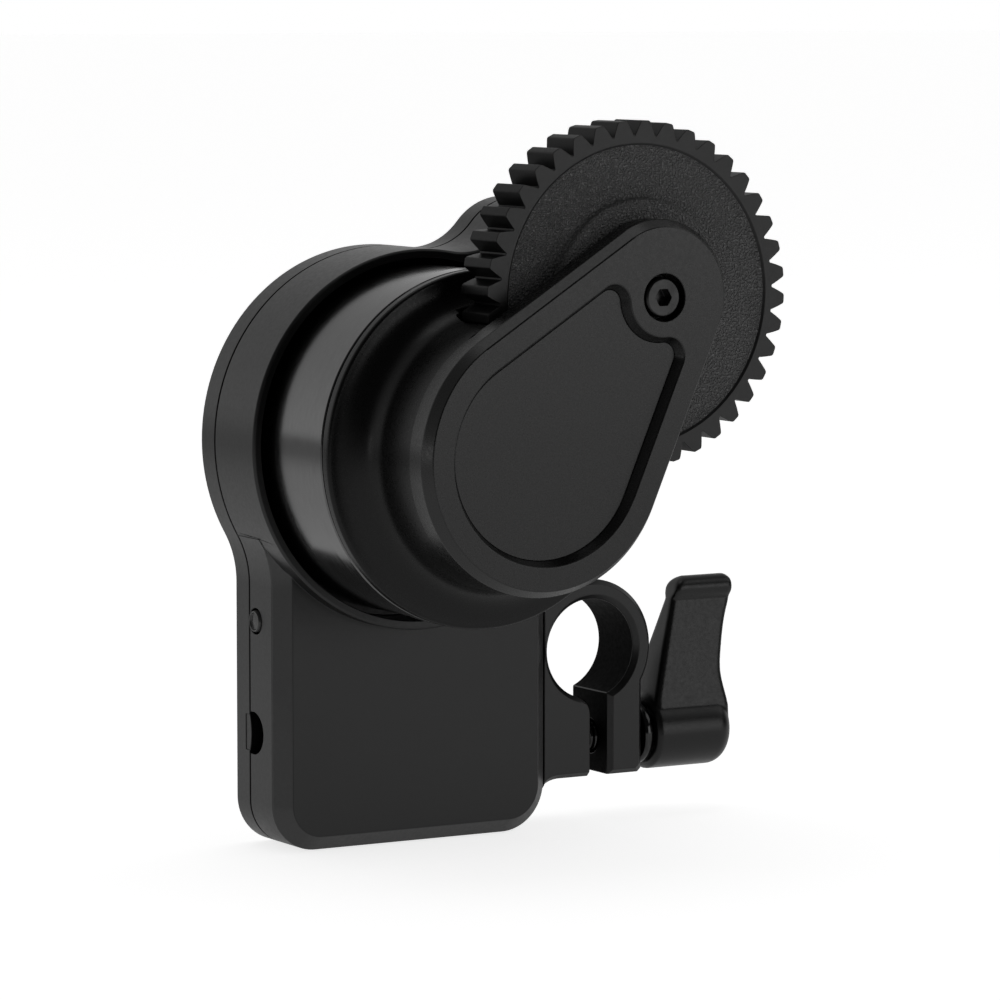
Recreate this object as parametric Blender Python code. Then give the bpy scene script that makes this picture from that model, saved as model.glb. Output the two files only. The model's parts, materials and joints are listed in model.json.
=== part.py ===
"""Motorized follow focus: a geared camera motor with a rod clamp, as an assembly of separate pieces.

Metres, +Z up. The front faces -Y, +X is to the right. The origin is on the axis of the rod bore,
in the middle of the clamp bracket's thickness. Gear and motor axes run along Y, the clamp screw along X.
"""
import math

import bmesh
import bpy
from mathutils import Matrix, Vector

# Clearances between pieces
FIT_GAP = 0.0003
SEAM_GAP = 0.0002
RUN_GAP = 0.0003
OVERRUN = 0.001
WELD = 0.000006
ARC_STEP = math.radians(8)
PROFILE_STEP = math.radians(22.5)
SMOOTH_BELOW = math.radians(32)
QUARTER = math.pi / 2
BIG_ROUND = 60
MID_ROUND = 32
SMALL_ROUND = 16
SCREW_ROUND = 12

# Rod clamp: bore along Y at the origin, 10 mm rod
ROD_BORE_RADIUS = 0.0051
CLAMP_WALL = 0.0020
CLAMP_DEPTH = 0.0077
CLAMP_CHAMFER = 0.0005
CLAMP_FOOT_LAND = 0.0008
CLAMP_FOOT_UNDER_TOP = 0.0003
JAW_LEG = 0.0060
JAW_INSET = 0.0010
SLIT_LEFT = -0.0003
SLIT_RIGHT = 0.0020
SLIT_ROUND = 0.0012
SLIT_CHAMFER = 0.0005
JAW_CORNER = 0.0004
FOOT_FLARE = 0.0010
FOOT_FLARE_LOW_SHARE = 0.25

# Motor axis from the rod bore, and the gear train that leads to the follow gear
MOTOR_Z = 0.0226
BELL_SLEEVE_GAP = 0.00045
PINION_TEETH = 14
IDLER_TEETH = 23
OUTPUT_TEETH = 18
MESH_CLEARANCE = 0.000075
TRAIN_BACKLASH = 0.00008
TRAIN_WIDTH = 0.0018
TRAIN_ANGLE = math.radians(49.3)
PRESSURE_ANGLE = math.radians(20)
ADDENDUM_SHARE = 0.8
DEDENDUM_SHARE = 1.15
FLANK_STEPS = 2
ROOT_GAP_SHARE = 0.8
OUTPUT_HALF_PITCHES = 1

# Follow gear
GEAR_MODULE = 0.0008
GEAR_TEETH = 40
GEAR_WIDTH = 0.0050
GEAR_BACKLASH = 0.00006
GEAR_TIP_SHARE = 1.0
GEAR_ROOT_SHARE = 1.2
GEAR_PHASE = math.radians(6.2)
GEAR_RIM_WALL = 0.00064
GEAR_WEB_SINK = 0.0002
GEAR_REAR_SINK = 0.0005
GEAR_BOSS_SHARE = 0.62
GEAR_BOSS_RISE = 0.0009
GEAR_BOSS_ROUND = 0.0005
GEAR_STANDOFF = 0.0033
GEAR_ARM_GAP = 0.0015

# Depths, all measured forwards from the flat back
COVER_DEPTH = 0.0031
BOX_DEPTH = 0.0093
CUP_DEPTH = 0.0113
RING_FRONT_DEPTH = 0.0225

# Housing outline
CUP_GAP = 0.0007
CUP_WALL = 0.0009
BOX_LEFT_STEP = 0.00375
BOX_RIGHT_STEP = 0.00295
BOX_BELOW_CLAMP = 0.0048
BOX_CORNER = 0.0048
BOX_CHAMFER = 0.0015
BOX_FILLET_LEFT = 0.0100
BOX_FILLET_RIGHT = 0.0010
LOBE_SHIFT_X = 0.0026
LOBE_SHIFT_Z = 0.0016
LOBE_RADIUS = 0.0069
LOBE_FILLET = 0.0070
HOUSING_WALL = 0.0012
BOX_FACE_WALL = 0.0013
BACK_WALL = 0.0015
RIM_CHAMFER = 0.0002
BACK_CHAMFER = 0.0003
CUP_FLOOR = 0.0011

# Motor
BELL_REAR_RADIUS = 0.01725
BELL_STEP = 0.0002
BELL_WALL = 0.0012
BELL_WEB = 0.0012
GROOVE_BACK = 0.00205
GROOVE_WIDTH = 0.00015
GROOVE_SINK = 0.0002
MAGNET_THICKNESS = 0.0012
MAGNET_OVERHANG = 0.0005
AIR_GAP = 0.0004
STATOR_SLOTS = 9
STATOR_END_ROOM = 0.0050
STATOR_HUB_WALL = 0.0012
SHOE_THICKNESS = 0.0009
SHOE_COVER_SHARE = 0.86
TOOTH_WIDTH = 0.0020
COIL_THICKNESS = 0.0011
AXLE_RADIUS = 0.0015
IDLER_PIN_RADIUS = 0.0009
IDLER_PIN_BITE = 0.0005
SIDE_HOLE_GAP = 0.0002
BEARING_WALL = 0.0014
BEARING_WIDTH = 0.0022
BEARING_RECESS = 0.0002
BEARING_RACE_SHARE = 0.25
HUB_WALL = 0.0009
STATOR_POST_WALL = 0.0009
FLANGE_RADIUS = 0.0070
FLANGE_THICKNESS = 0.0010
FLANGE_SCREW_PLACE = 0.0050
STATOR_START = 0.0026
COIL_GAP = 0.0002
BACK_PLATE_SEAT = 0.0008

# Arm: drum, cap disc and gear arm in one piece
DISC_THICKNESS = 0.0011
DISC_ROUND = 0.0006
DRUM_STEP = 0.00415
DRUM_FILLET = 0.0035
GEAR_SLOT_GAP = 0.0004
ARM_SMALL_RADIUS = 0.00745
ARM_PLATE = 0.0033
ARM_CHAMFER_WIDE = 0.0007
ARM_CHAMFER_DEEP = 0.0011
ARM_SEAT_WALL = 0.0012
RECESS_DEPTH = 0.0010
RECESS_SLOPE = 0.00055
RECESS_MARGIN = 0.0030
RECESS_NOTCH_RADIUS = 0.0038
RECESS_CORNER = 0.0018
COVER_PLATE = 0.0008
ARM_SCREW_HEAD_RADIUS = 0.00192
ARM_SCREW_HEAD_DEPTH = 0.0019
ARM_SCREW_SINK = 0.0002
COUNTERBORE_RADIUS = 0.0023
AXLE_SCREW_RADIUS = 0.0010
HEX_RADIUS = 0.0009
HEX_DEPTH = 0.0012
HEX_SIDES = 6
HEX_TURNS = [math.tau * side / HEX_SIDES for side in range(HEX_SIDES)]
SLEEVE_WALL = 0.00045
SLEEVE_COLLAR = 0.0008
SLEEVE_COLLAR_RADIUS = 0.0040
HEAD_EDGE = 0.0002

# Small screws
SCREW_RADIUS = 0.0009
SCREW_HEAD_RADIUS = 0.0017
SCREW_HEAD_DEPTH = 0.0010
SCREW_SINK = 0.0002
SCREW_SOCKET_RADIUS = 0.0007
SCREW_SOCKET_DEPTH = 0.0006
BOSS_WALL = 0.0009
BOSS_INSET = 0.0030
FLANGE_SCREW_COUNT = 3
BRACKET_SCREW_BITE = 0.0016
BRACKET_SCREW_DROP_SHARES = (0.458, 0.809)
BODY_BOSS_TURN_SHARES = (0.30, 0.53, 0.93)

# Electronics
BOARD_THICKNESS = 0.0008
BOARD_POST_HEIGHT = 0.0012
BOARD_MARGIN = 0.0016
BOARD_TOP_GAP = 0.00085
CHIP_SIZE = 0.0050
CHIP_HEIGHT = 0.0007
SOCKET_Z = -0.0064
SOCKET_RADIUS = 0.0024
SOCKET_LENGTH = 0.0062
SOCKET_HOLE_RADIUS = 0.0016
SOCKET_HOLE_DEPTH = 0.0045
SOCKET_AHEAD = 0.0038
SOCKET_BARREL = 0.0022
LIGHT_Z = 0.0048
LIGHT_RADIUS = 0.0011
LIGHT_AHEAD = 0.0044
LIGHT_LENGTH = 0.0030
LIGHT_RISE = 0.0002

# Clamp screw and lever
STUD_RADIUS = 0.0015
STUD_ABOVE_JAW = 0.0036
STUD_BITE = 0.0027
WASHER_STANDOFF = 0.00065
WASHER_THICKNESS = 0.0010
WASHER_RADIUS = 0.0033
LEVER_HUB_RADIUS = 0.0039
LEVER_LENGTH = 0.0094
LEVER_ROUND = 0.0018
LEVER_LEFT_ROUND = 0.0004
LEVER_BORE_RADIUS = 0.0024
LEVER_HEIGHT = 0.0159
LEVER_TOP_LEFT = 0.0041
LEVER_TOP_OVERHANG = 0.0016
LEVER_WAIST_INSET = 0.0005
LEVER_WAIST_HEIGHT = 0.0071
LEVER_BEAD_RADIUS = 0.0013
LEVER_TOP_ROUND = 0.0008
LEVER_NECK_THICKNESS = 0.0021
LEVER_ROOT_THICKNESS = 0.0060
LEVER_CORNER = 0.0005
LEVER_LEVEL_SHARES = (0, 0.2, 0.4, 0.6, 0.8)
SPLINE_RADIUS = 0.0021
SPLINE_LENGTH = 0.0014
SPLINE_TEETH = 10
SPLINE_SINK = 0.0003
SPRING_WIRE = 0.0002
SPRING_TURNS = 3
SPRING_STEPS = 10
LEVER_SCREW_HEAD = 0.0010
LEVER_END_WALL = 0.0010
LEVER_SCREW_RADIUS = 0.0009
LEVER_SCREW_HEAD_RADIUS = 0.0020
LEVER_SCREW_SUNK = 0.0005
SPLINE_SIDES = 8

BACK = CLAMP_DEPTH / 2
BELL_RADIUS = BELL_REAR_RADIUS + BELL_STEP
CUP_BORE_RADIUS = BELL_REAR_RADIUS + CUP_GAP
BODY_RADIUS = CUP_BORE_RADIUS + CUP_WALL
SLEEVE_BORE = AXLE_SCREW_RADIUS + RUN_GAP
SLEEVE_RADIUS = SLEEVE_BORE + SLEEVE_WALL

# Rod clamp, with the box beside it and the motor above
CLAMP_RING_RADIUS = ROD_BORE_RADIUS + CLAMP_WALL
CLAMP_FOOT_LEFT = ROD_BORE_RADIUS + CLAMP_FOOT_LAND
CLAMP_FOOT_TOP = CLAMP_RING_RADIUS - CLAMP_FOOT_UNDER_TOP
JAW_DROP = CLAMP_RING_RADIUS + JAW_LEG
JAW_RIGHT = CLAMP_RING_RADIUS - JAW_INSET
STUD_Z = -JAW_DROP + STUD_ABOVE_JAW
STUD_LEFT = SLIT_LEFT - STUD_BITE
WASHER_LEFT = JAW_RIGHT + WASHER_STANDOFF
LEVER_LEFT = WASHER_LEFT + WASHER_THICKNESS + FIT_GAP
LEVER_RIGHT = LEVER_LEFT + LEVER_LENGTH
BOX_BOTTOM = -JAW_DROP - BOX_BELOW_CLAMP
BOX_RIGHT = -CLAMP_FOOT_LEFT
MOTOR = Vector((BOX_RIGHT + BOX_RIGHT_STEP - BODY_RADIUS, MOTOR_Z))
BOX_LEFT = MOTOR.x - BODY_RADIUS + BOX_LEFT_STEP

# The train spans the distance that the rotor bell and the sleeve beside it leave
AXIS_DISTANCE = BELL_RADIUS + BELL_SLEEVE_GAP + SLEEVE_RADIUS
TRAIN_MODULE = 2 * (AXIS_DISTANCE - 2 * MESH_CLEARANCE) / (PINION_TEETH + 2 * IDLER_TEETH + OUTPUT_TEETH)
IDLER_DISTANCE = TRAIN_MODULE * (PINION_TEETH + IDLER_TEETH) / 2 + MESH_CLEARANCE
TRAIN_DIRECTION = Vector((math.cos(TRAIN_ANGLE), math.sin(TRAIN_ANGLE)))
GEAR = MOTOR + TRAIN_DIRECTION * AXIS_DISTANCE
IDLER = MOTOR + TRAIN_DIRECTION * IDLER_DISTANCE
LOBE = GEAR + Vector((LOBE_SHIFT_X, LOBE_SHIFT_Z))
GEAR_TIP_RADIUS = GEAR_MODULE * (GEAR_TEETH / 2 + GEAR_TIP_SHARE)
GEAR_ROOT_RADIUS = GEAR_MODULE * (GEAR_TEETH / 2 - GEAR_ROOT_SHARE)
GEAR_WEB_RADIUS = GEAR_ROOT_RADIUS - GEAR_RIM_WALL
GEAR_BOSS_RADIUS = GEAR_ROOT_RADIUS * GEAR_BOSS_SHARE
DRUM_RADIUS = BELL_RADIUS - DRUM_STEP
RECESS_BIG_RADIUS = DRUM_RADIUS - RECESS_MARGIN

# Planes along Y that several pieces share
SEAM = BACK - COVER_DEPTH
RIM = BACK - CUP_DEPTH
BOX_FACE = BACK - BOX_DEPTH
RING_FRONT = BACK - RING_FRONT_DEPTH
GEAR_BACK = RING_FRONT - GEAR_STANDOFF
GEAR_FRONT = GEAR_BACK - GEAR_WIDTH
ARM_BACK = GEAR_FRONT - GEAR_ARM_GAP
ARM_FACE = ARM_BACK - ARM_PLATE
COVER_INSIDE = BACK - BACK_WALL
TRAIN_FRONT = SEAM - FIT_GAP - TRAIN_WIDTH / 2
TRAIN_BACK = TRAIN_FRONT + TRAIN_WIDTH
FLOOR_BACK = TRAIN_FRONT - RUN_GAP
FLOOR_FRONT = FLOOR_BACK - CUP_FLOOR
DISC_BACK = RING_FRONT - RUN_GAP
DISC_FRONT = DISC_BACK - DISC_THICKNESS
ARM_SEAT = DISC_BACK - FLANGE_THICKNESS - 2 * RUN_GAP
ARM_SCREW_SEAT = ARM_SEAT - ARM_SEAT_WALL
BELL_BACK = FLOOR_FRONT - RUN_GAP
RECESS_FLOOR = ARM_FACE + RECESS_DEPTH
POCKET_FLOOR = RECESS_FLOOR + COVER_PLATE + FIT_GAP
HUB_BORE = AXLE_RADIUS + FIT_GAP + BEARING_WALL + FIT_GAP
HUB_RADIUS = HUB_BORE + HUB_WALL
POST_BORE = HUB_RADIUS + RUN_GAP
POST_RADIUS = POST_BORE + STATOR_POST_WALL
HUB_BACK = TRAIN_FRONT - FIT_GAP
MAGNET_OUTER = BELL_REAR_RADIUS - BELL_WALL - FIT_GAP
MAGNET_INNER = MAGNET_OUTER - MAGNET_THICKNESS
STATOR_OUTER = MAGNET_INNER - AIR_GAP
STATOR_HUB_OUTER = POST_RADIUS + FIT_GAP + STATOR_HUB_WALL
STATOR_FRONT = RING_FRONT + BELL_WEB + STATOR_START
STATOR_BACK = FLOOR_FRONT - STATOR_END_ROOM
STATOR_LENGTH = STATOR_BACK - STATOR_FRONT
MAGNET_LENGTH = STATOR_LENGTH + 2 * MAGNET_OVERHANG
MAGNET_FRONT = STATOR_FRONT - MAGNET_OVERHANG
PINION_PHASE = TRAIN_ANGLE
IDLER_PHASE = TRAIN_ANGLE + math.pi + math.pi / IDLER_TEETH
OUTPUT_PHASE = TRAIN_ANGLE + math.pi + math.pi / OUTPUT_TEETH * OUTPUT_HALF_PITCHES
FLANGE_SCREWS = []
for i in range(FLANGE_SCREW_COUNT):
    turn = TRAIN_ANGLE + math.tau * (i + 1) / (FLANGE_SCREW_COUNT + 1)
    FLANGE_SCREWS.append((MOTOR.x + FLANGE_SCREW_PLACE * math.cos(turn),
                          MOTOR.y + FLANGE_SCREW_PLACE * math.sin(turn)))
FLANGE_SCREW_TIP = ARM_SEAT + FIT_GAP + FLANGE_THICKNESS
SOCKET_LEFT = BOX_LEFT + HOUSING_WALL + FIT_GAP
SOCKET_RIGHT = SOCKET_LEFT + SOCKET_LENGTH


def start_empty():
    """Removes every object that the scene opened with."""
    for old in list(bpy.data.objects):
        bpy.data.objects.remove(old, do_unlink=True)


def material(name, colour, roughness, metallic):
    """A plain principled material."""
    made = bpy.data.materials.new(name)
    made.use_nodes = True
    shader = made.node_tree.nodes["Principled BSDF"]
    shader.inputs["Base Color"].default_value = (*colour, 1)
    shader.inputs["Roughness"].default_value = roughness
    shader.inputs["Metallic"].default_value = metallic
    return made


def axis_empty(name, x, y, z):
    """An empty on a joint's axis, which the pieces that turn there hang from."""
    empty = bpy.data.objects.new(name, None)
    bpy.context.collection.objects.link(empty)
    empty.location = (x, y, z)
    return empty


def place(name, mesh, finish, parent):
    """Links a mesh as an object at its parent's origin, shaded smooth with crisp edges."""
    mesh.shade_smooth()
    mesh.set_sharp_from_angle(angle=SMOOTH_BELOW)
    piece = bpy.data.objects.new(name, mesh)
    bpy.context.collection.objects.link(piece)
    if finish is not None:
        mesh.materials.append(finish)
    piece.parent = parent
    return piece


def mesh_of(name, bm):
    """Closes a bmesh into a mesh with its faces pointing out."""
    bmesh.ops.recalc_face_normals(bm, faces=bm.faces)
    mesh = bpy.data.meshes.new(name)
    bm.to_mesh(mesh)
    bm.free()
    return mesh


def arc(centre, radius, start, end, step=ARC_STEP):
    """Points on an arc from one angle to another, both ends included."""
    count = max(2, math.ceil(abs(end - start) / step))
    turns = [start + (end - start) * i / count for i in range(count + 1)]
    return [(centre[0] + radius * math.cos(t), centre[1] + radius * math.sin(t)) for t in turns]


def add_loft(bm, layers):
    """Skins closed outlines of equal length, each at its own Y, and caps both ends."""
    loops = [[bm.verts.new((x, y, z)) for x, z in outline] for y, outline in layers]
    for ahead, behind in zip(loops, loops[1:]):
        for i, corner in enumerate(ahead):
            j = (i + 1) % len(ahead)
            bm.faces.new((corner, ahead[j], behind[j], behind[i]))
    bm.faces.new(loops[0])
    bm.faces.new(reversed(loops[-1]))


def loft_mesh(name, layers):
    """A mesh that runs through outlines along Y."""
    bm = bmesh.new()
    add_loft(bm, layers)
    return mesh_of(name, bm)


def add_turned(bm, profile, steps, centre=(0, 0)):
    """Spins a closed (radius, y) profile round an axis along Y through a centre in X and Z."""
    verts = [bm.verts.new((centre[0] + r, y, centre[1])) for r, y in profile]
    edges = [bm.edges.new((v, verts[(i + 1) % len(verts)])) for i, v in enumerate(verts)]
    axis_at = Vector((centre[0], 0, centre[1]))
    bmesh.ops.spin(bm, geom=verts + edges, cent=axis_at, axis=Vector((0, 1, 0)), angle=math.tau, steps=steps,
                   use_duplicate=False)
    bmesh.ops.remove_doubles(bm, verts=bm.verts, dist=WELD)
    loose = [e for e in bm.edges if not e.link_faces]
    bmesh.ops.delete(bm, geom=loose, context="EDGES")


def turned_mesh(name, profile, steps, centre=(0, 0)):
    """A mesh turned about an axis along Y."""
    bm = bmesh.new()
    add_turned(bm, profile, steps, centre)
    return mesh_of(name, bm)


def ring_profile(inner, outer, front, back):
    """The rectangle that turns into a plain ring, or into a rod if the inner radius is zero."""
    return [(inner, front), (outer, front), (outer, back), (inner, back)]


def along_x(mesh):
    """Turns a mesh that was built along Y so that it runs along X."""
    mesh.transform(Matrix.Rotation(-math.pi / 2, 4, "Z"))
    return mesh


def shape(target, tool_mesh, operation, offset=(0, 0, 0)):
    """Adds or cuts a mesh, which stays in the file as a hidden wire guide."""
    tool = bpy.data.objects.new("guide_" + tool_mesh.name, tool_mesh)
    bpy.context.collection.objects.link(tool)
    tool.parent = target
    tool.location = offset
    tool.hide_render = True
    tool.display_type = "WIRE"
    step = target.modifiers.new(tool_mesh.name, "BOOLEAN")
    step.operation = operation
    step.solver = "EXACT"
    step.object = tool
    return tool


def cut(target, tool_mesh, offset=(0, 0, 0)):
    """Cuts a mesh out of a piece."""
    return shape(target, tool_mesh, "DIFFERENCE", offset)


def join(target, tool_mesh, offset=(0, 0, 0)):
    """Unites a mesh with a piece."""
    return shape(target, tool_mesh, "UNION", offset)


def rod_mesh(name, radius, front, back, steps=SMALL_ROUND, centre=(0, 0)):
    """A plain rod along Y."""
    return turned_mesh(name, ring_profile(0, radius, front, back), steps, centre)


def block_mesh(name, x_range, y_range, z_range):
    """A block between two limits on each axis."""
    (left, right), (front, back), (low, high) = x_range, y_range, z_range
    outline = [(left, low), (right, low), (right, high), (left, high)]
    return loft_mesh(name, [(front, outline), (back, outline)])


def meet(first, first_radius, second, second_radius, side):
    """The point at two distances from two centres, on the left (1) or right (-1) of the line between them."""
    span = second - first
    along = (first_radius ** 2 - second_radius ** 2 + span.length_squared) / (2 * span.length)
    across = math.sqrt(first_radius ** 2 - along ** 2)
    unit = span.normalized()
    return first + unit * along + Vector((-unit.y, unit.x)) * (side * across)


def beside_line(line_x, fillet, outward):
    """The centre of the fillet between the body circle and an upright side of the box."""
    x = line_x + outward * fillet
    drop = math.sqrt((BODY_RADIUS + fillet) ** 2 - (x - MOTOR.x) ** 2)
    return Vector((x, MOTOR.y - drop))


def sweep(centre, radius, start, end, turn):
    """An arc from the direction of one point to that of another, anticlockwise (1) or clockwise (-1)."""
    first = math.atan2(start[1] - centre[1], start[0] - centre[0])
    last = math.atan2(end[1] - centre[1], end[0] - centre[0])
    while (last - first) * turn <= 0:
        last += turn * math.tau
    return arc(centre, radius, first, last)


def path(*stretches):
    """Joins stretches end to end, with each shared point kept once."""
    points = list(stretches[0])
    for stretch in stretches[1:]:
        points += list(stretch)[1:]
    return points


LOBE_LEFT_FILLET = meet(MOTOR, BODY_RADIUS + LOBE_FILLET, LOBE, LOBE_RADIUS + LOBE_FILLET, 1)
LOBE_RIGHT_FILLET = meet(MOTOR, BODY_RADIUS + LOBE_FILLET, LOBE, LOBE_RADIUS + LOBE_FILLET, -1)
BOX_LEFT_FILLET = beside_line(BOX_LEFT, BOX_FILLET_LEFT, -1)
BOX_RIGHT_FILLET = beside_line(BOX_RIGHT, BOX_FILLET_RIGHT, 1)
RIGHT_WARD = Vector((1, 0))


def lobe_side(inset):
    """From the body circle round the lobe that carries the gear axle and back to the circle."""
    return path(
        sweep(LOBE_RIGHT_FILLET, LOBE_FILLET + inset, MOTOR, LOBE, -1),
        sweep(LOBE, LOBE_RADIUS - inset, LOBE_RIGHT_FILLET, LOBE_LEFT_FILLET, 1),
        sweep(LOBE_LEFT_FILLET, LOBE_FILLET + inset, LOBE, MOTOR, -1))


def box_side(inset):
    """From the body circle down round the box and up to the circle again."""
    low = BOX_BOTTOM + BOX_CORNER
    return path(
        sweep(BOX_LEFT_FILLET, BOX_FILLET_LEFT + inset, MOTOR, BOX_LEFT_FILLET + RIGHT_WARD, -1),
        [None] + arc((BOX_LEFT + BOX_CORNER, low), BOX_CORNER - inset, math.pi, math.pi + QUARTER),
        [None] + arc((BOX_RIGHT - BOX_CORNER, low), BOX_CORNER - inset, -QUARTER, 0),
        [None] + sweep(BOX_RIGHT_FILLET, BOX_FILLET_RIGHT + inset, BOX_RIGHT_FILLET - RIGHT_WARD, MOTOR, -1))


def cup_outline(inset):
    """The round body and the lobe."""
    ring = sweep(MOTOR, BODY_RADIUS - inset, LOBE_LEFT_FILLET, LOBE_RIGHT_FILLET, 1)
    return path(ring, lobe_side(inset))[:-1]


def box_outline(inset):
    """The box below the body, with its upper end inside the body circle."""
    return box_side(inset) + [(MOTOR.x, MOTOR.y)]


def housing_outline(inset):
    """The whole housing from the front."""
    return path(
        sweep(MOTOR, BODY_RADIUS - inset, LOBE_LEFT_FILLET, BOX_LEFT_FILLET, 1),
        box_side(inset),
        sweep(MOTOR, BODY_RADIUS - inset, BOX_RIGHT_FILLET, LOBE_RIGHT_FILLET, 1),
        lobe_side(inset))[:-1]


def box_hollow_outline(inset):
    """The deeper hollow of the box, below the cup."""
    low = BOX_BOTTOM + BOX_CORNER
    top = MOTOR.y - CUP_BORE_RADIUS - inset
    corners = path(
        arc((BOX_LEFT + BOX_CORNER, low), BOX_CORNER - inset, math.pi, math.pi + QUARTER),
        [None] + arc((BOX_RIGHT - BOX_CORNER, low), BOX_CORNER - inset, -QUARTER, 0))
    return corners + [(BOX_RIGHT - inset, top), (BOX_LEFT + inset, top)]


BOSS_RADIUS = SCREW_RADIUS + FIT_GAP + BOSS_WALL
LEFT_BOSS_X = BOX_LEFT + BOSS_INSET
RIGHT_BOSS_X = BOX_RIGHT - BOSS_INSET
LOW_BOSS_Z = BOX_BOTTOM + BOSS_INSET
BODY_BOSS_RADIUS = BODY_RADIUS - BOSS_INSET
LOW_BOSSES = [(LEFT_BOSS_X, LOW_BOSS_Z), (RIGHT_BOSS_X, LOW_BOSS_Z)]
BODY_BOSSES = [(MOTOR.x + BODY_BOSS_RADIUS * math.cos(math.tau * share),
                MOTOR.y + BODY_BOSS_RADIUS * math.sin(math.tau * share)) for share in BODY_BOSS_TURN_SHARES]
BOX_HOLLOW_FRONT = BOX_FACE + BOX_FACE_WALL
HOUSING_BACK = SEAM - SEAM_GAP / 2
COVER_FRONT = SEAM + SEAM_GAP / 2
BOARD_FRONT = BOX_HOLLOW_FRONT + BOARD_POST_HEIGHT + FIT_GAP
BOARD_BACK = BOARD_FRONT + BOARD_THICKNESS
BOARD_LEFT = BOX_LEFT + HOUSING_WALL + BOARD_MARGIN
BOARD_RIGHT = BOX_RIGHT - HOUSING_WALL - BOARD_MARGIN
BOARD_LOW = LOW_BOSS_Z + BOSS_RADIUS + FIT_GAP
BOARD_TOP = MOTOR.y - CUP_BORE_RADIUS - HOUSING_WALL - BOARD_TOP_GAP
BOARD_POSTS = [(BOARD_LEFT + BOSS_INSET, BOARD_TOP - BOSS_INSET),
               (BOARD_RIGHT - BOSS_INSET, BOARD_LOW + BOSS_INSET)]
POST_FRONT = RING_FRONT + BELL_WEB + RUN_GAP
SOCKET_Y = BACK - SOCKET_AHEAD
LIGHT_Y = BACK - LIGHT_AHEAD
BRACKET_SCREW_Y = (BOX_FACE + BOX_CHAMFER + SEAM) / 2
BRACKET_SCREW_DROPS = [JAW_DROP * share for share in BRACKET_SCREW_DROP_SHARES]
BRACKET_LEFT = -CLAMP_FOOT_LEFT + SEAM_GAP
BOARD_SCREW_TIP = BOX_HOLLOW_FRONT + FIT_GAP


def boss_mesh(name, front, hole_bottom, back, centre):
    """A round boss with a blind screw hole in its back end."""
    hole = SCREW_RADIUS + FIT_GAP
    profile = [(0, front), (BOSS_RADIUS, front), (BOSS_RADIUS, back), (hole, back), (hole, hole_bottom),
               (0, hole_bottom)]
    return turned_mesh(name, profile, SCREW_ROUND, centre)


def screw_holes(piece, places, front, back):
    """Blind or through holes for small screws along Y."""
    for i, spot in enumerate(places):
        name = "%s_hole_%d" % (piece.name, i)
        cut(piece, rod_mesh(name, SCREW_RADIUS + FIT_GAP, front, back, SCREW_ROUND, spot))


def make_housing(finish):
    """Front shell: the motor cup, the lobe and the box, hollow from behind."""
    cup = [(RIM, cup_outline(RIM_CHAMFER)), (RIM + RIM_CHAMFER, cup_outline(0)), (HOUSING_BACK, cup_outline(0))]
    housing = place("main_housing", loft_mesh("main_housing", cup), finish, None)
    box = [(BOX_FACE, box_outline(BOX_CHAMFER)), (BOX_FACE + BOX_CHAMFER, box_outline(0)),
           (HOUSING_BACK, box_outline(0))]
    join(housing, loft_mesh("box_body", box))
    cut(housing, rod_mesh("cup_bore", CUP_BORE_RADIUS, RIM - OVERRUN, FLOOR_FRONT, BIG_ROUND, MOTOR))
    back = HOUSING_BACK + OVERRUN
    rear = housing_outline(HOUSING_WALL)
    cut(housing, loft_mesh("rear_hollow", [(FLOOR_BACK, rear), (back, rear)]))
    deep = box_hollow_outline(HOUSING_WALL)
    cut(housing, loft_mesh("box_hollow", [(BOX_HOLLOW_FRONT, deep), (back, deep)]))
    inside = CUP_FLOOR / 2
    for i, spot in enumerate(LOW_BOSSES):
        join(housing, boss_mesh("low_boss_%d" % i, BOX_HOLLOW_FRONT - inside, FLOOR_BACK, HOUSING_BACK, spot))
    for i, spot in enumerate(BODY_BOSSES):
        join(housing, boss_mesh("body_boss_%d" % i, FLOOR_BACK - inside, FLOOR_BACK, HOUSING_BACK, spot))
    for i, spot in enumerate(BOARD_POSTS):
        join(housing, boss_mesh("board_post_%d" % i, BOX_HOLLOW_FRONT - inside, BOX_HOLLOW_FRONT,
                                BOX_HOLLOW_FRONT + BOARD_POST_HEIGHT, spot))
    join(housing, rod_mesh("stator_post", POST_RADIUS, POST_FRONT, FLOOR_BACK - inside, MID_ROUND, MOTOR))
    cut(housing, rod_mesh("post_bore", POST_BORE, POST_FRONT - OVERRUN, FLOOR_BACK + OVERRUN, MID_ROUND, MOTOR))
    cut(housing, rod_mesh("sleeve_hole", SLEEVE_RADIUS + RUN_GAP, RIM - OVERRUN, FLOOR_BACK + OVERRUN,
                          SMALL_ROUND, GEAR))
    cut(housing, rod_mesh("idler_pin_seat", IDLER_PIN_RADIUS + FIT_GAP, FLOOR_BACK - IDLER_PIN_BITE - FIT_GAP,
                          FLOOR_BACK + OVERRUN, SMALL_ROUND, IDLER))
    wall = HOUSING_WALL + OVERRUN
    socket = along_x(rod_mesh("socket_hole", SOCKET_RADIUS + SIDE_HOLE_GAP, -OVERRUN, wall, SMALL_ROUND))
    cut(housing, socket, (BOX_LEFT, SOCKET_Y, SOCKET_Z))
    light = along_x(rod_mesh("light_hole", LIGHT_RADIUS + SIDE_HOLE_GAP, -OVERRUN, LIGHT_LENGTH + FIT_GAP))
    cut(housing, light, (BOX_LEFT, LIGHT_Y, LIGHT_Z))
    for i, drop in enumerate(BRACKET_SCREW_DROPS):
        hole = along_x(rod_mesh("side_screw_hole_%d" % i, SCREW_RADIUS + FIT_GAP, -wall, OVERRUN, SMALL_ROUND))
        cut(housing, hole, (BOX_RIGHT, BRACKET_SCREW_Y, -drop))
    return housing


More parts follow.
